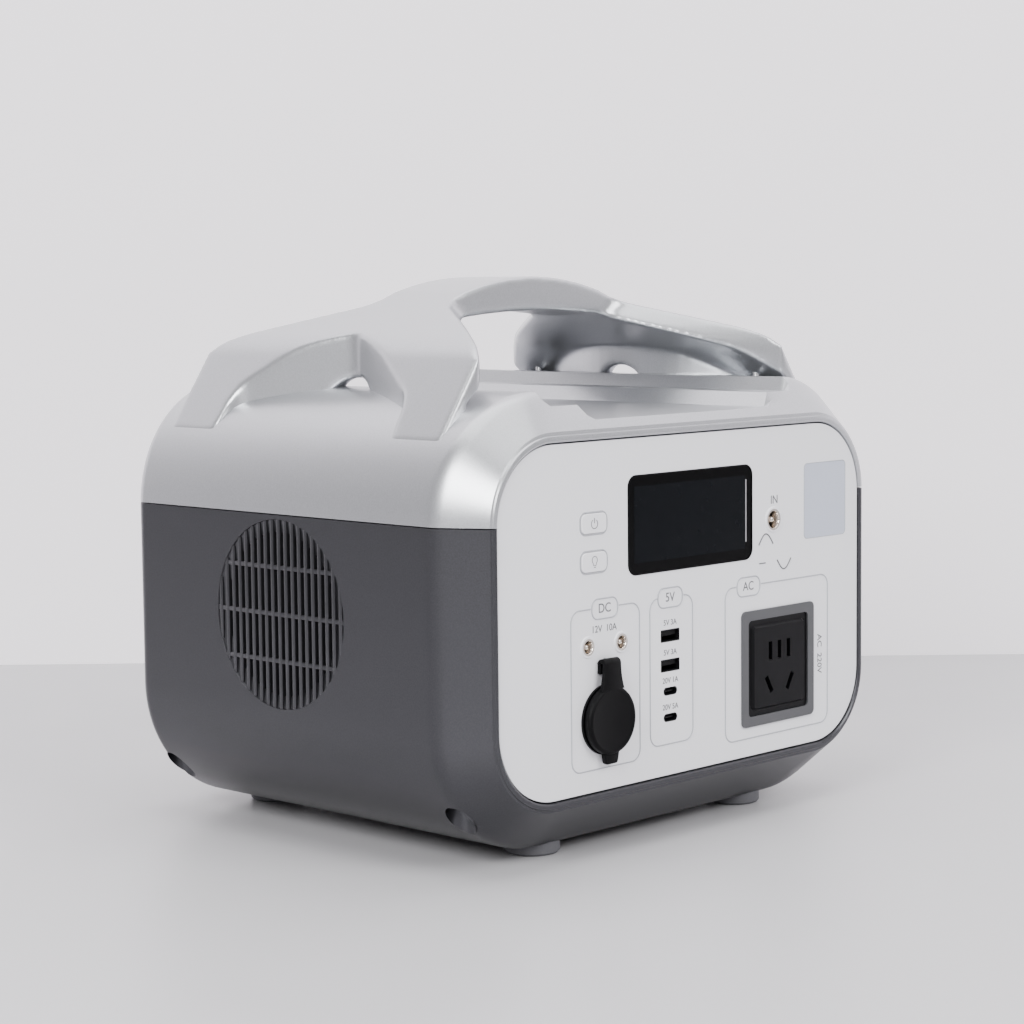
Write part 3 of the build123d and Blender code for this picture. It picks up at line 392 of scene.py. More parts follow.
def held_in(x, z):
    """A point of the widening band, held inside the body's own section."""
    across = abs(x)
    if z > shoulder_centre[1] and across > shoulder_centre[0]:
        centre, radius = shoulder_centre, shoulder_radius
    elif z < low_centre[1] and across > low_centre[0]:
        centre, radius = low_centre, low_radius
    elif z > shoulder_centre[1]:
        return x, soft_least(z, body_top, deck_softness)
    elif z < low_centre[1] and across <= low_centre[0]:
        return x, -soft_least(-z, -body_bottom, band_softness)
    else:
        return math.copysign(soft_least(across, half_width, band_softness), x), z
    arm = Vector((across - centre[0], z - centre[1]))
    arm *= soft_least(arm.length, radius, band_softness) / arm.length
    return math.copysign(centre[0] + arm.x, x), centre[1] + arm.y


# %% Rings of the two shells
def mirrored(half_ring):
    """A whole ring from its right half, which ends on the middle line."""
    return half_ring + [(-x, z) for x, z in reversed(half_ring[:-1])]


def upper_ring(half, high, radius):
    """The upper shell's stations from the right seam over the top to the left seam."""
    centre_x, centre_z = half - radius, high - radius
    reach = math.acos(min(max((deck_steps[0][0] * mm - centre_x) / radius, 0), 1))
    angles = [reach * k / arc_steps for k in range(arc_steps)]
    ring = [(centre_x + radius * math.cos(a), centre_z + radius * math.sin(a)) for a in angles]
    for x, _ in deck_steps:
        over = max(x * mm - centre_x, 0)
        ring.append((x * mm, centre_z + math.sqrt(radius**2 - over**2)))
    return mirrored(ring)


def lower_ring(half, low, radius):
    """The lower shell's stations from the right seam under the body to the left seam."""
    centre_x, centre_z = half - radius, low + radius
    sides = [(half, centre_z + (seam - centre_z) * k / 4) for k in (4, 3, 2, 1)]
    angles = [math.pi / 2 * k / arc_steps for k in range(arc_steps + 1)]
    arc = [(centre_x + radius * math.cos(a), centre_z - radius * math.sin(a)) for a in angles]
    return mirrored(sides + arc + [(centre_x / 2, low), (0, low)])


# %% [markdown]
# The rings go from the lip to the middle of the body at each end. The rear panel is narrower than
# the front one, so the slanted band is wider there. Rings at the exact depths where the slope
# meets each step of the valley keep those creases straight.

# %% Rings across the depth
slope = crease_rise / band_depth
step_depths = [(deck_floor + rise * mm - lip_high) / slope for rise in (0, 6, 12)]
# The lip's rings: how far each is outside the panel, and how far back from the end, in mm.
lip_rings = [(0.55, 5.0), (0.55, 1.1), (0.75, 0.4), (1.25, 0.02), (2.2, 0.02), (2.75, 0.22)]
lip_rings.append((3.0, 0.9))
depths = [1.2, 2.4, 6.5, 11.5, 12.8, 13.4, 14.6, 15.2, 16.5, 18, 19, 20, 21, 22, 23, 24, 26, 28, 31]
depths = sorted([d * mm for d in depths + [36, 48, 70, 95]] + step_depths)
print("rings at each end:", len(lip_rings) + len(depths))


def valley(x):
    """The height of the stepped valley at x."""
    across = abs(x) / mm
    for (outer, high), (inner, low) in zip(deck_steps, deck_steps[1:]):
        if inner <= across <= outer:
            return deck_floor + (low + (high - low) * (across - inner) / (outer - inner)) * mm
    return body_top + crease_rise


def lip_ring(width, upper, inner_half):
    """A ring of the lip, width outside the panel, whose half width is inner_half."""
    half, radius = inner_half + width, lip_radius - lip_width + width
    drop = width * lip_rise / lip_width
    if upper:
        return upper_ring(half, panel_high[2] + drop, radius)
    return lower_ring(half, panel_low[2] - drop, radius)


def band_ring(depth, upper, inner_half):
    """A ring of the band or the body, depth in from the end whose panel is inner_half wide."""
    way = min(depth / band_depth, most_widening)
    half = inner_half + lip_width + (half_width - inner_half - lip_width) * way
    if upper:
        radius = lip_radius + (shoulder_radius - lip_radius + crease_rise - top_rise) * way
        ring = upper_ring(half, lip_high + crease_rise * way, radius)
        ring = [held_in(x, z) for x, z in ring]
        return [(x, min(z, valley(x))) for x, z in ring]
    radius = lip_radius + (low_radius - lip_radius) * way
    ring = lower_ring(half, lip_low - (lip_low - body_bottom) * way, radius)
    return [held_in(x, z) for x, z in ring]


# %% From rings to a skin
def skin(name, upper):
    """One shell's skin as a mesh of rings."""
    rings = []
    for side, inner_half in ((-1, panel_half), (1, rear_half)):
        end = [(back * mm, lip_ring(width * mm, upper, inner_half)) for width, back in lip_rings]
        end += [(depth, band_ring(depth, upper, inner_half)) for depth in depths]
        rings += [(side * (half_depth - depth), ring) for depth, ring in end[::-side]]
    seam_z = seam + (seam_gap if upper else -seam_gap)
    points = []
    for y, ring in rings:
        ring = [(ring[0][0], seam_z)] + ring[1:-1] + [(ring[-1][0], seam_z)]
        points += [(x, y, z) for x, z in ring]
    count = len(rings[0][1])
    faces = []
    for i in range(len(rings) - 1):
        for k in range(count - 1):
            a, b = i * count + k, i * count + k + 1
            c, d = b + count, a + count
            twist = points[a][2] + points[c][2] - points[b][2] - points[d][2]
            if abs(twist) < flat_enough:
                faces.append((a, b, c, d))
            elif twist > 0:
                faces += [(a, b, c), (a, c, d)]
            else:
                faces += [(a, b, d), (b, c, d)]
    if upper:
        faces = [tuple(reversed(face)) for face in faces]
    return mesh_piece(name, points, faces)


def thickened(piece, thickness):
    """Gives a skin its wall, grown inwards."""
    wall = piece.modifiers.new("wall", "SOLIDIFY")
    wall.thickness = thickness
    wall.offset = -1
    return bake(piece)


# %% Both shells
wall_thickness = 2.4 * mm
shell_crease = 24
upper_skin = skin("upper_shell_skin", True)
lower_skin = skin("lower_shell_skin", False)
for shell in (upper_skin, lower_skin):
    probe = shell.data.polygons[len(shell.data.polygons) // 2]
    normal = [round(v, 2) for v in probe.normal]
    print(shell.name, "faces", len(shell.data.polygons), "middle normal", normal)
upper_skin = smooth(dress(thickened(upper_skin, wall_thickness), silver_paint), shell_crease)
lower_skin = thickened(lower_skin, wall_thickness)

# %% [markdown]
# ## Openings in the lower shell
# Two kinds of holes go through the lower shell. The round vents are cut straight across the body
# in one go. The four screws that hold the shells together sit at the bottom of deep round wells
# in the corners, and a well cuts the rounded corner in a long oval. A boolean makes both, and a
# short tube gives each well its wall.

# %% Vents and screw wells
vent_centre = (0, (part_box("fan_frame")[0][2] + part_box("fan_frame")[1][2]) / 2)
vent_radius = 39.5 * mm
well_radius = 6.3 * mm
well_x, well_y = 114.5 * mm, 88 * mm
screw_head = 2.6 * mm
well_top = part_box("shell_screws")[0][2] + screw_head
past_body = 0.2
under_body = -0.02


def circle(x, y, radius, steps=64):
    """A round outline."""
    angles = [2 * math.pi * k / steps for k in range(steps)]
    return [(x + radius * math.cos(a), y + radius * math.sin(a)) for a in angles]


cut(lower_skin, block("vent_tool", circle(*vent_centre, vent_radius, 96), "X", -past_body, past_body))
for x in (-well_x, well_x):
    for y in (-well_y, well_y):
        cut(lower_skin, block("well_tool", circle(x, y, well_radius), "Z", under_body, well_top))
smooth(dress(lower_skin, dark_paint), shell_crease)


# %% Walls of the wells
def well_tube(name, x, y):
    """The wall of a screw well, from the corner's inner face up to its floor."""
    points, faces = [], []
    ring = circle(x, y, well_radius, 48)
    for px, py in ring:
        across = min(abs(px) - low_centre[0], low_radius)
        low = low_centre[1] - math.sqrt(low_radius**2 - across**2)
        points += [(px, py, low + wall_thickness / 2), (px, py, well_top)]
    count = len(ring)
    for k in range(count):
        j = (k + 1) % count
        faces.append((2 * k, 2 * k + 1, 2 * j + 1, 2 * j))
    faces.append([2 * k + 1 for k in range(count)])
    return smooth(dress(mesh_piece(name, points, faces), dark_paint))


well_places = [(side * well_x, end * well_y) for side in (-1, 1) for end in (-1, 1)]
wells = [well_tube("screw_well_%d" % number, x, y) for number, (x, y) in enumerate(well_places)]
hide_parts("upper_shell")
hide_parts("lower_shell")
for piece, slot in [(upper_skin, "silver_metallic"), (lower_skin, "dark_metallic")]:
    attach(piece, "base")
for piece in wells:
    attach(piece, "base")
print("shell faces", len(upper_skin.data.polygons), len(lower_skin.data.polygons), "wells", len(wells))

# %% [markdown]
# ## Round side vents
# Each vent is a shallow dish moulded into the side, crossed by thin upright bars and three level
# ribs. The bars run out over the sloping edge of the dish, so each slot ends in a small bright
# scoop. The dish is a turned profile, and the bars are boxes of the right length for their place
# in the circle.

# %% Vent grilles
bar_pitch = 4.15 * mm
bar_width = 2.1 * mm
bars_each_side = 9
bar_front = 0.15 * mm
bar_back = 3.0 * mm
bar_overlap = 0.1 * mm
rib_heights = (-19.5 * mm, 0.0, 19.5 * mm)
rib_half = 0.95 * mm
rib_front = 0.25 * mm
bar_edge = 0.3 * mm
dish_depth = 1.5 * mm
dish_floor = 34.2 * mm
dish_edge = 0.3 * mm
hair = 0.02 * mm


def box_points(low, high):
    """The corners and faces of a box."""
    xs, ys, zs = zip(low, high)
    corners = [(x, y, z) for x in xs for y in ys for z in zs]
    faces = [(0, 1, 3, 2), (4, 6, 7, 5), (0, 4, 5, 1), (2, 3, 7, 6), (0, 2, 6, 4), (1, 5, 7, 3)]
    return corners, faces


def half_chord(offset):
    """Half the width of the vent's circle at an offset from its centre."""
    return math.sqrt((vent_radius + bar_overlap) ** 2 - offset * offset)


def vent_grille(name, side):
    """The bars and the ribs of one vent."""
    back = side * (half_width - bar_back)
    bar_x, rib_x = side * (half_width - bar_front), side * (half_width - rib_front)
    spots = [k * bar_pitch for k in range(-bars_each_side, bars_each_side + 1)]
    boxes = [(bar_x, spot, 0.0, bar_width / 2, half_chord(spot)) for spot in spots]
    boxes += [(rib_x, 0.0, rise, half_chord(rise), rib_half) for rise in rib_heights]
    points, faces = [], []
    for front, across, rise, half_across, half_up in boxes:
        y, z = vent_centre[0] + across, vent_centre[1] + rise
        low = (min(front, back), y - half_across, z - half_up)
        high = (max(front, back), y + half_across, z + half_up)
        corners, sides = box_points(low, high)
        faces += [[i + len(points) for i in face] for face in sides]
        points += corners
    grille = bevelled(outward(mesh_piece(name, points, faces)), bar_edge)
    return smooth(dress(grille, dark_paint), 40)


# %% Vent dishes
def vent_dish(name, side):
    """The sloping edge of one vent."""
    outer = side * half_width
    profile = [
        (vent_radius + hair, outer),
        (vent_radius - dish_edge, outer - side * 0.7 * mm),
        (dish_floor + 0.6 * mm, outer - side * (dish_depth - 0.2 * mm)),
        (dish_floor, outer - side * dish_depth),
        (dish_floor, outer - side * (dish_depth + 3 * mm)),
    ]
    dish = turned(name, profile, (0, 0, vent_centre[1]), "X", 96)
    return smooth(dress(dish, dark_paint), 50)


for side, hand in ((-1, "left"), (1, "right")):
    for piece in (vent_grille("vent_grille_" + hand, side), vent_dish("vent_dish_" + hand, side)):
        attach(piece, "base")
        print(piece.name, "faces", len(piece.data.polygons))

# %% [markdown]
# ## The arch handle
# The handle is one moulding: a crowned grip that splays into four legs, with a triangular recess
# in each end. Seen from the front it is an arch, and seen from above an hourglass, so I make a
# block of each and keep what they share. The hourglass draws in towards its top, which rounds the
# flanks of the legs over into the arch. A fine voxel remesh and some smoothing then give every
# edge the same soft moulded radius.

# %% Handle blocks
grip_top = handle_high[2]
crown_half, crown_edge = 42 * mm, 230 * mm
leg_half = handle_high[1]
foot_x = handle_high[0]
foot_bottom = 160 * mm
leg_root = 104 * mm
past_foot = 1 * mm
grip_half, knee_radius = 23 * mm, 16 * mm
end_centre, end_radius = 181 * mm, 100 * mm
gap_height, gap_radius = 178 * mm, 16 * mm
tool_low, tool_high = 0.1, 0.3
voxel = 0.9 * mm
smoothing_rounds = 22


def crown(half, edge, top, steps=8):
    """A gently curved run from +half over the middle to -half."""
    spots = [half * (1 - 2 * k / steps) for k in range(steps + 1)]
    return [(x, top - (top - edge) * (x / half) ** 2, 0) for x in spots]


def both_sides(right, middle):
    """An arch's corners: the right side upwards, the middle, and the left side downwards."""
    return right + middle + [(-x, z, r) for x, z, r in reversed(right)]


# %% The arch, its hollow and the hourglass
arch_right = [
    (foot_x - 0.6 * mm, foot_bottom, 0),
    (foot_x, 172 * mm, 0),
    (94 * mm, 209.7 * mm, 24 * mm),
]
arch = rounded(both_sides(arch_right, crown(crown_half, crown_edge, grip_top)))
hollow_right = [(leg_root, 150 * mm, 0), (leg_root, 186 * mm, 0), (84 * mm, 202 * mm, 30 * mm)]
hollow = rounded(both_sides(hollow_right, crown(44 * mm, 218.5 * mm, grip_top - 15 * mm)))
# Levels of the hourglass: its height, the grip's knee, and how deep the legs are, in mm.
waist_levels = [
    (100, 37, 91), (203, 37, 91), (208, 38, 90), (213, 42, 86),
    (218, 47, 81), (223, 53, 75), (240, 57, 71),
]


def hourglass(knee, leg):
    """The outline from above, whose grip ends at knee and whose legs are leg deep at their root."""
    deep = leg * mm
    quarter = [(foot_x + past_foot, deep, 0), (leg_root, deep, 0), (knee * mm, grip_half, knee_radius)]
    front = quarter + [(-x, y, r) for x, y, r in reversed(quarter)]
    return rounded(front + [(-x, -y, r) for x, y, r in front])


def drawn_in(name, levels):
    """A solid whose hourglass outline changes from level to level."""
    outlines = [(z * mm, hourglass(knee, leg)) for z, knee, leg in levels]
    count = len(outlines[0][1])
    points = [(x, y, z) for z, outline in outlines for x, y in outline]
    faces = [list(range(count)), list(range(len(points) - 1, len(points) - count - 1, -1))]
    for i in range(0, len(points) - count, count):
        for k in range(count):
            j = (k + 1) % count
            faces.append([i + k, i + j, i + count + j, i + count + k])
    return outward(mesh_piece(name, points, faces))


recess = [(150 * mm, 56 * mm, 0), (107.7 * mm, 53.5 * mm, 10 * mm), (85 * mm, 0, 9 * mm)]
recess += [(107.7 * mm, -53.5 * mm, 10 * mm), (150 * mm, -56 * mm, 0)]
print("corners of the arch and its hollow:", len(arch), len(hollow))

# %% Handle
handle = block("arch_handle", arch, "Y", -leg_half, leg_half)
under = block("under_tool", hollow, "Y", -past_body, past_body)
for side in (-1, 1):
    end = circle(side * end_centre, 0, end_radius, 96)
    cut(under, block("end_tool", end, "Z", tool_low, tool_high))
cut(handle, under)
cut(handle, drawn_in("waist_tool", waist_levels), "INTERSECT")
for side in (-1, 1):
    outline = rounded([(side * x, y, r) for x, y, r in recess])
    cut(handle, block("recess_tool", outline, "Z", tool_low, tool_high))
cut(handle, block("gap_tool", circle(0, gap_height, gap_radius), "X", -past_body, past_body))
print("handle faces before smoothing", len(handle.data.polygons))

# %% Soft edges on the handle
even = handle.modifiers.new("even", "REMESH")
even.mode = "VOXEL"
even.voxel_size = voxel
soften = handle.modifiers.new("soften", "SMOOTH")
soften.factor = 0.5
soften.iterations = smoothing_rounds
bake(handle)
smooth(dress(handle, silver_paint), 70)
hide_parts("handle")
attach(handle, "base")
handle_top = max(v.co.z for v in handle.data.vertices)
print("handle faces", len(handle.data.polygons), "top", round(handle_top / mm, 1))

# %% [markdown]
# ## Marks on the panel
# Each group of sockets has a fine raised line round it, broken by a small outlined pill at the
# top. A curve with a thin round bevel makes such a line, half sunk in the panel. The signs are
# plain ones that any maker uses.


# %% A raised line
# A line's grey is painted shade: the real raised line has the panel's colour and shows by its shading.
def raised_line(name, spots, radius=0.28, closed=False, material=line_shade_grey):
    """A thin raised line through (x, z) spots on the panel, in mm from its middle."""
    curve = bpy.data.curves.new(name, "CURVE")
    curve.dimensions = "3D"
    curve.bevel_depth = radius * mm
    curve.bevel_resolution = 3
    spline = curve.splines.new("POLY")
    spline.points.add(len(spots) - 1)
    for point, (x, z) in zip(spline.points, spots):
        point.co = (x * mm, panel_face, panel_mid + z * mm, 1)
    spline.use_cyclic_u = closed
    line = bpy.data.objects.new(name, curve)
    bpy.context.scene.collection.objects.link(line)
    curve.materials.append(material)
    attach(line, "base")
    return line


def pill(x, z, width, height, radius):
    """The rounded outline of a pill."""
    w, h = width / 2, height / 2
    corners = [(x + w, z - h), (x + w, z + h), (x - w, z + h), (x - w, z - h)]
    return [tuple(p) for p in rounded([(*corner, radius) for corner in corners], 6)]


# %% A sign
sign_depth = 0.03 * mm
sign_weight = 0.02 * mm


def sign(name, words, x, z, size, turn=0.0):
    """A plain sign on the panel, centred on (x, z), in mm from its middle."""
    text = bpy.data.curves.new(name, "FONT")
    text.body = words
    text.size = size * mm
    text.align_x = "CENTER"
    text.align_y = "CENTER"
    text.extrude = sign_depth
    text.offset = sign_weight
    piece = bpy.data.objects.new(name, text)
    bpy.context.scene.collection.objects.link(piece)
    piece.matrix_world = (
        Matrix.Translation((x * mm, panel_face - sign_depth, panel_mid + z * mm))
        @ Matrix.Rotation(math.radians(90), 4, "X")
        @ Matrix.Rotation(math.radians(turn), 4, "Z")
    )
    text.materials.append(ink_grey)
    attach(piece, "base")


# %% The groups
pill_width, pill_height, pill_radius = 15.6, 8.2, 3.4
pill_gap = 8.6
corner_radius = 5


def group(name, left, right, top, bottom, pill_x, pill_z, words):
    """A group's line, open where its pill sits, with the pill and its sign."""
    corners = [(left, top), (left, bottom), (right, bottom), (right, top)]
    line = [(pill_x - pill_gap, top, 0)]
    line += [(*corner, corner_radius) for corner in corners]
    line.append((pill_x + pill_gap, top, 0))
    raised_line(name + "_line", [tuple(p) for p in rounded(line, 6)])
    raised_line(name + "_pill", pill(pill_x, pill_z, pill_width, pill_height, pill_radius), 0.3, True)
    sign(name + "_sign", words, pill_x, pill_z, 5.4)


group("direct_current", -75.2, -33.5, 3.7, -61.9, -54.8, 3.3, "DC")
group("data_ports", -27.0, 0.4, 3.8, -57.9, -14.0, 3.6, "5V")
group("mains", 22.1, 94.5, 3.5, -63.2, 38.1, 3.1, "AC")
button_x = -61.2
for name, z in (("power", 38.2), ("lamp", 22.6)):
    raised_line(name + "_button_line", pill(button_x, z, 16.2, 9.2, 3.2), 0.25, True)
sign("inlet_sign", "IN", 56.1, 39.2, 5.2)
sign("jack_sign", "12V  10A", -55.2, -4.9, 4.0)
port_signs = [("5V 3A", -6.9), ("5V 3A", -19.4), ("20V 1A", -31.2), ("20V 5A", -42.4)]
for number, (words, z) in enumerate(port_signs):
    sign("port_sign_%d" % number, words, -14.1, z, 3.3)
sign("outlet_sign", "AC  220V", 88.6, -32.0, 4.4, -90)
print("lines and signs so far:", len(bpy.data.curves))

# %% [markdown]
# ## Wave and button signs
# The wave by the charging inlet stands for a smooth alternating current: one crest and one
# trough. The two buttons carry the usual on-off sign and a small bulb. A mark drawn in the
# material would need its own place on each button, so these are fine lines too, and they ride on
# their buttons.

# %% Wave
def half_wave(x, z, width, height, steps=12):
    """Half a wave that starts at (x, z): a crest, or a trough if the height is negative."""
    angles = [math.pi * k / steps for k in range(steps + 1)]
    return [(x + width * a / math.pi, z + height * math.sin(a)) for a in angles]


raised_line("wave_crest", half_wave(45.3, 20.2, 9.9, 4.6), 0.3, False, ink_grey)
raised_line("wave_trough", half_wave(58.1, 12.9, 9.7, -4.4), 0.3, False, ink_grey)
raised_line("wave_base", [(45.5, 12.2), (50.0, 12.2)], 0.25, False, ink_grey)


# %% Button signs
def on_button(name, spots, radius, button):
    """A sign's line out on its button, which carries it."""
    line = raised_line(name, spots, radius, False, ink_grey)
    line.location.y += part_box(button)[0][1] - panel_face
    bpy.context.view_layer.update()
    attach(line, button)


def ring_part(x, z, radius, start, end, steps=24):
    """Part of a circle, from one angle to another, in degrees."""
    angles = [math.radians(start + (end - start) * k / steps) for k in range(steps + 1)]
    return [(x + radius * math.cos(a), z + radius * math.sin(a)) for a in angles]


on_button("power_ring", ring_part(button_x, 38.0, 1.9, 125, 415), 0.17, "power_button")
on_button("power_bar", [(button_x, 38.3), (button_x, 40.4)], 0.17, "power_button")
bulb = ring_part(button_x, 23.4, 1.55, -50, 230)
bulb += [(button_x - 0.7, 21.2), (button_x + 0.7, 21.2), (button_x + 1.0, 22.2)]
on_button("lamp_bulb", bulb, 0.15, "light_button")
on_button("lamp_base", [(button_x - 0.6, 20.5), (button_x + 0.6, 20.5)], 0.15, "light_button")
print("lines and signs:", len(bpy.data.curves))

# %% [markdown]
# ## Screen and lamp
# The display shows through the black window as a slightly greyer rectangle. The thin bright line
# where its glass ends is a painted highlight: a metal strip stands for the glint on the glass
# edge. Real glass with a display behind it would need many more light bounces, so two thin plates
# on the window's face stand for them. The lamp lens is frosted, and a fine line marks its edge.


# %% Display and lamp edge
def plate(name, outline, front, back, material, body="base"):
    """A thin plate on the panel from an outline in mm, between two depths."""
    spots = [(x * mm, panel_mid + z * mm) for x, z in outline]
    piece = smooth(dress(block(name, spots, "Y", front, back), material))
    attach(piece, body)
    return piece


window_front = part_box("lcd_window")[0][1]
window_plates = {
    "display": (pill(-0.2, 35.4, 72.2, 31.6, 0.6), 0.04 * mm, dim_display),
    # A thin metal strip on the window's face: a painted highlight for the glint where the glass ends.
    "glass_edge_glint": (pill(36.4, 36.0, 0.7, 27.0, 0.3), 0.07 * mm, plated_steel),
}
for name, (outline, proud, material) in window_plates.items():
    plate(name, outline, window_front - proud, window_front, material)
raised_line("screen_rim", pill(0.2, 35.3, 80.6, 40.6, 4.5), 0.35, True, black_glass)
raised_line("lamp_rim", pill(92.5, 37.0, 30.2, 33.2, 2.0), 0.16, True, line_shade_grey)
print("plates on the window:", len(window_plates))

# %% [markdown]
# ## Data ports
# A port's mouth comes forward to the panel's face, so the panel's thickness never shows round it.
# A shadow could be painted there, but it would be wrong from other sides. A thin dark sleeve in
# each opening does it instead, with a dark tongue inside.

# %% Port mouths
port_black = finish("port_black", (0.004, 0.004, 0.005), 0.5, IOR=1.3)
port_wall = 0.8
mouth_wall = 0.35
mouth_proud = 0.05 * mm
# A port's corner radius, its tongue's height, and the tongue's rise over the middle, in mm.
wide_port, narrow_port = (0.4, 1.8, 0.9), (1.6, 0.8, 0.0)
port_shapes = {
    "usb_a_upper": wide_port, "usb_a_lower": wide_port,
    "usb_c_upper": narrow_port, "usb_c_lower": narrow_port,
}
for name, (corner, tongue_height, rise) in port_shapes.items():
    low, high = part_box(name)
    x, z = (low[0] + high[0]) / 2 / mm, ((low[2] + high[2]) / 2 - panel_mid) / mm
    width, height = (high[0] - low[0]) / mm - 2 * port_wall, (high[2] - low[2]) / mm - 2 * port_wall
    outline = pill(x, z, width, height, corner)
    mouth = plate(name + "_mouth", outline, panel_face - mouth_proud, low[1], port_black)
    hole = pill(x, z, width - 2 * mouth_wall, height - 2 * mouth_wall, max(corner - mouth_wall, 0.1))
    spots = [(a * mm, panel_mid + b * mm) for a, b in hole]
    cut(mouth, block("hole_tool", spots, "Y", -past_body, past_body))
    dress(mouth, port_black)
    tongue = pill(x, z + rise, width - 2.0, tongue_height, 0.1)
    front, back = panel_face + 1.2 * mm, low[1] + 2 * mm
    plate(name + "_tongue", tongue, front, back, outlet_black)
    dress(nodes[name], port_black)
print("ports lined:", len(port_shapes))

# %% [markdown]
# ## Round jacks
# A barrel jack shows a plated sleeve inside its plastic rim and a domed pin in the middle. All
# three are round, so each is a short profile turned about the jack's axis, which needs far fewer
# steps than cutting solids.

# %% Jack linings
# The radius of each jack's bore and of its pin.
inlet_sizes, outlet_sizes = (3.85 * mm, 1.2 * mm), (2.7 * mm, 1.1 * mm)
jack_sizes = {"in_jack": inlet_sizes, "dc_jack_left": outlet_sizes, "dc_jack_right": outlet_sizes}
lining_depth = 8 * mm


def lining(name, profile, centre, material, steps=40):
    """A turned piece of a jack."""
    piece = smooth(dress(turned(name, profile, centre, "Y", steps), material), 50)
    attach(piece, "base")


for name, (bore, pin) in jack_sizes.items():
    low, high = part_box(name)
    centre = ((low[0] + high[0]) / 2, 0, (low[2] + high[2]) / 2)
    front, back = low[1], low[1] + lining_depth
    sleeve = [
        (bore + 0.9 * mm, front - 0.05 * mm),
        (bore, front - 0.05 * mm),
        (bore - 0.25 * mm, front + 0.3 * mm),
        (bore - 0.25 * mm, back),
    ]
    tip = [(0, front + 0.6 * mm), (0.7 * pin, front + 0.8 * mm), (pin, front + 1.3 * mm), (pin, back)]
    rim = [
        (bore + 0.8 * mm, front - 0.1 * mm),
        (bore + 1.5 * mm, front - 0.1 * mm),
        (bore + 1.9 * mm, front + 0.45 * mm),
    ]
    lining(name + "_sleeve", sleeve, centre, jack_metal)
    lining(name + "_tip", tip, centre, jack_metal, 32)
    lining(name + "_rim", rim, centre, panel_satin)
print("jacks lined:", len(jack_sizes))

# %% [markdown]
# ## The rubber cap and its strap
# The cap is a turned disc with a soft edge and a pull tab below. The strap starts at its top,
# runs up over a fold and back to its anchor in the panel. It is one flat ribbon along a fixed
# path: it lies on the panel at the anchor, on the cap at the disc, and turns smoothly in between.

# %% Cap
cap_low, cap_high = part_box("socket_cap")
strap_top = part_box("cap_strap")[1][2]
cap_x = (cap_low[0] + cap_high[0]) / 2
cap_radius = (cap_high[0] - cap_low[0]) / 2
cap_drop = 42 * mm
cap_thickness = 3.6 * mm
cap_z = panel_mid - cap_drop
cap_front = cap_low[1]
cap_back = cap_front + cap_thickness
disc_profile = [
    (0, cap_front + 0.35 * mm),
    (cap_radius - 2.6 * mm, cap_front + 0.30 * mm),
    (cap_radius - 1.7 * mm, cap_front + 0.05 * mm),
    (cap_radius - 1.1 * mm, cap_front),
    (cap_radius - 0.4 * mm, cap_front + 0.35 * mm),
    (cap_radius, cap_front + 1.1 * mm),
    (cap_radius, cap_back - 0.5 * mm),
    (cap_radius - 0.4 * mm, cap_back),
    (9 * mm, cap_back),
    (8.6 * mm, cap_high[1]),
    (0, cap_high[1]),
]
cap = smooth(dress(turned("cap_disc", disc_profile, (cap_x, 0, cap_z), "Y", 96), soft_rubber), 50)
x_mid, z_mid = cap_x / mm, (cap_z - panel_mid) / mm
tab_outline = [
    (x_mid - 4.6, z_mid - 12.5, 0), (x_mid - 3.9, z_mid - 16.0, 1), (x_mid - 3.4, z_mid - 18.0, 1.4),
    (x_mid + 3.4, z_mid - 18.0, 1.4), (x_mid + 3.9, z_mid - 16.0, 1), (x_mid + 4.6, z_mid - 12.5, 0),
]
tab_outline = rounded(tab_outline)
tab_front, tab_back = cap_front + 1.0 * mm, cap_front + 3.5 * mm
tab = plate("cap_tab", tab_outline, tab_front, tab_back, soft_rubber, "socket_cap")
smooth(bevelled(tab, 0.5 * mm), 50)
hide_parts("socket_cap")
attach(cap, "socket_cap")
print("cap radius", round(cap_radius / mm, 1), "faces", len(cap.data.polygons))


# %% A ribbon
def ribbon(name, path, thickness):
    """A flat strap along path, a list of (y, z, half width), centred on the cap."""
    points, faces = [], []
    for i, (y, z, half) in enumerate(path):
        before, after = path[max(i - 1, 0)], path[min(i + 1, len(path) - 1)]
        along = Vector((after[0] - before[0], after[1] - before[1])).normalized()
        across = Vector((-along.y, along.x)) * thickness / 2
        for way in (-1, 1):
            for x in (-half, half):
                points.append((cap_x + x, y + way * across.x, z + way * across.y))
    for i in range(len(path) - 1):
        a = 4 * i
        for p, q in ((0, 1), (1, 3), (3, 2), (2, 0)):
            faces.append((a + p, a + q, a + 4 + q, a + 4 + p))
    faces += [(0, 1, 3, 2), tuple(4 * (len(path) - 1) + k for k in (0, 2, 3, 1))]
    return outward(mesh_piece(name, points, faces))


# %% Strap
strap_half, fold_half, disc_half = 4.6 * mm, 4.7 * mm, 6.6 * mm
strap_thickness, strap_edge = 1.7 * mm, 0.45 * mm
leaf_front = cap_front + 0.95 * mm
leaf_back = panel_face - 1.1 * mm
fold_radius = (leaf_back - leaf_front) / 2
fold_y = (leaf_back + leaf_front) / 2
fold_z = strap_top - 1.0 * mm
turns = 12
strap_path = [(panel_face - 0.9 * mm, panel_mid - 23.0 * mm, strap_half)]
for rise in (0, 1.2, 2.4):
    strap_path.append((leaf_back, panel_mid + (rise - 21.0) * mm, strap_half))
for k in range(turns + 1):
    angle = math.pi * k / turns
    y, z = fold_y + fold_radius * math.cos(angle), fold_z - fold_radius * (1 - math.sin(angle))
    strap_path.append((y, z, fold_half))
leaf_top = strap_path[-1][1]
leaf_end = cap_z + cap_radius - 1.5 * mm
for k in range(1, turns + 1):
    way = k / turns
    half = fold_half + (disc_half - fold_half) * way**2
    strap_path.append((leaf_front, leaf_top + (leaf_end - leaf_top) * way, half))
strap = bevelled(ribbon("strap_loop", strap_path, strap_thickness), strap_edge, 2, 60)
smooth(dress(strap, soft_rubber), 60)
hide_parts("cap_strap")
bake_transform(strap)
print("strap points", len(strap.data.vertices))

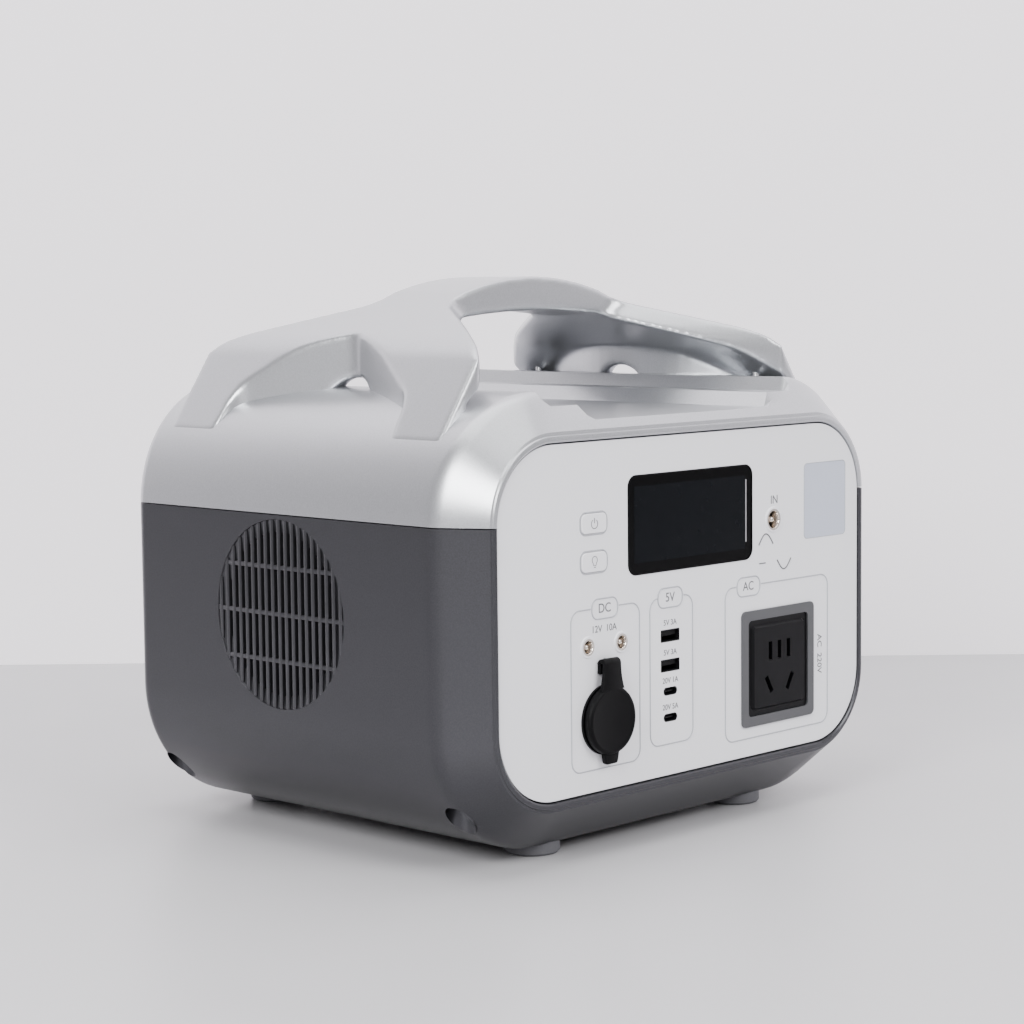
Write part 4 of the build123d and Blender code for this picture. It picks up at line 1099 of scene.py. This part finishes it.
# %% [markdown]
# ## Set
# The station stands on a pale table, and a paler wall rises behind its far edge. A curved sweep
# would hide the line between them, but here that line belongs to the look, so two flat planes are
# enough. The wall glows a little, which stands for the lamps that would light it.

# %% Floor
table_grey = finish("table_grey", (0.50, 0.495, 0.51), 0.42, grain_size=60.0, vary=0.01)
wall_white = finish(
    "wall_white", (0.90, 0.86, 0.90), 0.8,
    grain_size=60.0, vary=0.01, Emission_Strength=0.28,
)
table_level, table_edge, table_half = -0.0002, 0.413, 3
wall_half, wall_top = 6, 3
facing = Matrix.Rotation(math.radians(-46.087), 4, "Z")


def stage_plane(name, corners, material):
    """A flat piece of the set, from corners that face the camera."""
    plane = mesh_piece(name, [facing @ Vector(corner) for corner in corners], [(0, 1, 2, 3)])
    dress(plane, material)
    print(name, "corners", len(corners))


table_ends = [(-table_half, -table_half), (table_half, -table_half)]
table_ends += [(table_half, table_edge), (-table_half, table_edge)]
stage_plane("table", [(x, y, table_level) for x, y in table_ends], table_grey)
wall_ends = [(-wall_half, table_level), (wall_half, table_level)]
wall_ends += [(wall_half, wall_top), (-wall_half, wall_top)]
stage_plane("wall", [(x, table_edge, z) for x, z in wall_ends], wall_white)

# %% [markdown]
# ## Light
# Metallic paint shows what it reflects, so the lights are large squares, which draw broad soft
# highlights. One hangs in front and above, one overhead, and one on the left draws the bright
# line along the rounded edges. Small lamps would give hard spots instead. The sky adds an even
# fill.

# %% Lights
def soft_light(name, place, target, size, power):
    """A square soft light that faces target."""
    lamp = bpy.data.lights.new(name, "AREA")
    lamp.size = size
    lamp.energy = power
    piece = bpy.data.objects.new(name, lamp)
    piece.location = place
    piece.rotation_euler = (Vector(target) - Vector(place)).to_track_quat("-Z", "Y").to_euler()
    bpy.context.scene.collection.objects.link(piece)
    print(name, "light", power, "W")


aim = (0, 0, 0.1)
soft_light("key", (0.2, -1.9, 1.4), aim, 1.2, 42)
soft_light("overhead", (0.0, 0.1, 1.6), aim, 1.6, 24)
soft_light("edge", (-1.55, -0.5, 1.0), aim, 0.8, 38)

# %% Fill light
world = bpy.data.worlds.new("studio")
bpy.context.scene.world = world
world.use_nodes = True
sky = world.node_tree.nodes["Background"].inputs
sky["Color"].default_value = (0.80, 0.785, 0.81, 1)
sky["Strength"].default_value = 0.74
print("fill", round(sky["Strength"].default_value, 2))

# %% [markdown]
# ## Camera
# The camera stands off the front left corner, a little above the body, and looks slightly down
# with a long lens. A target to track would be simpler, but three angles also give the small roll
# of the horizon.

# %% Camera
eye = Vector((-0.7980, -0.7757, 0.2360))
yaw, pitch, roll = math.radians(46.087), math.radians(5.41), math.radians(-0.609)
look = Vector((math.sin(yaw) * math.cos(pitch), math.cos(yaw) * math.cos(pitch), -math.sin(pitch)))
level = Vector((math.cos(yaw), -math.sin(yaw), 0))
right = math.cos(roll) * level + math.sin(roll) * level.cross(look)
up = right.cross(look)
lens_data = bpy.data.cameras.new("camera")
lens_data.lens = 87.46
camera = bpy.data.objects.new("camera", lens_data)
camera.matrix_world = Matrix.Translation(eye) @ Matrix((right, up, -look)).transposed().to_4x4()
bpy.context.scene.collection.objects.link(camera)
bpy.context.scene.camera = camera
print("camera at", [round(v, 3) for v in eye], "lens", lens_data.lens)
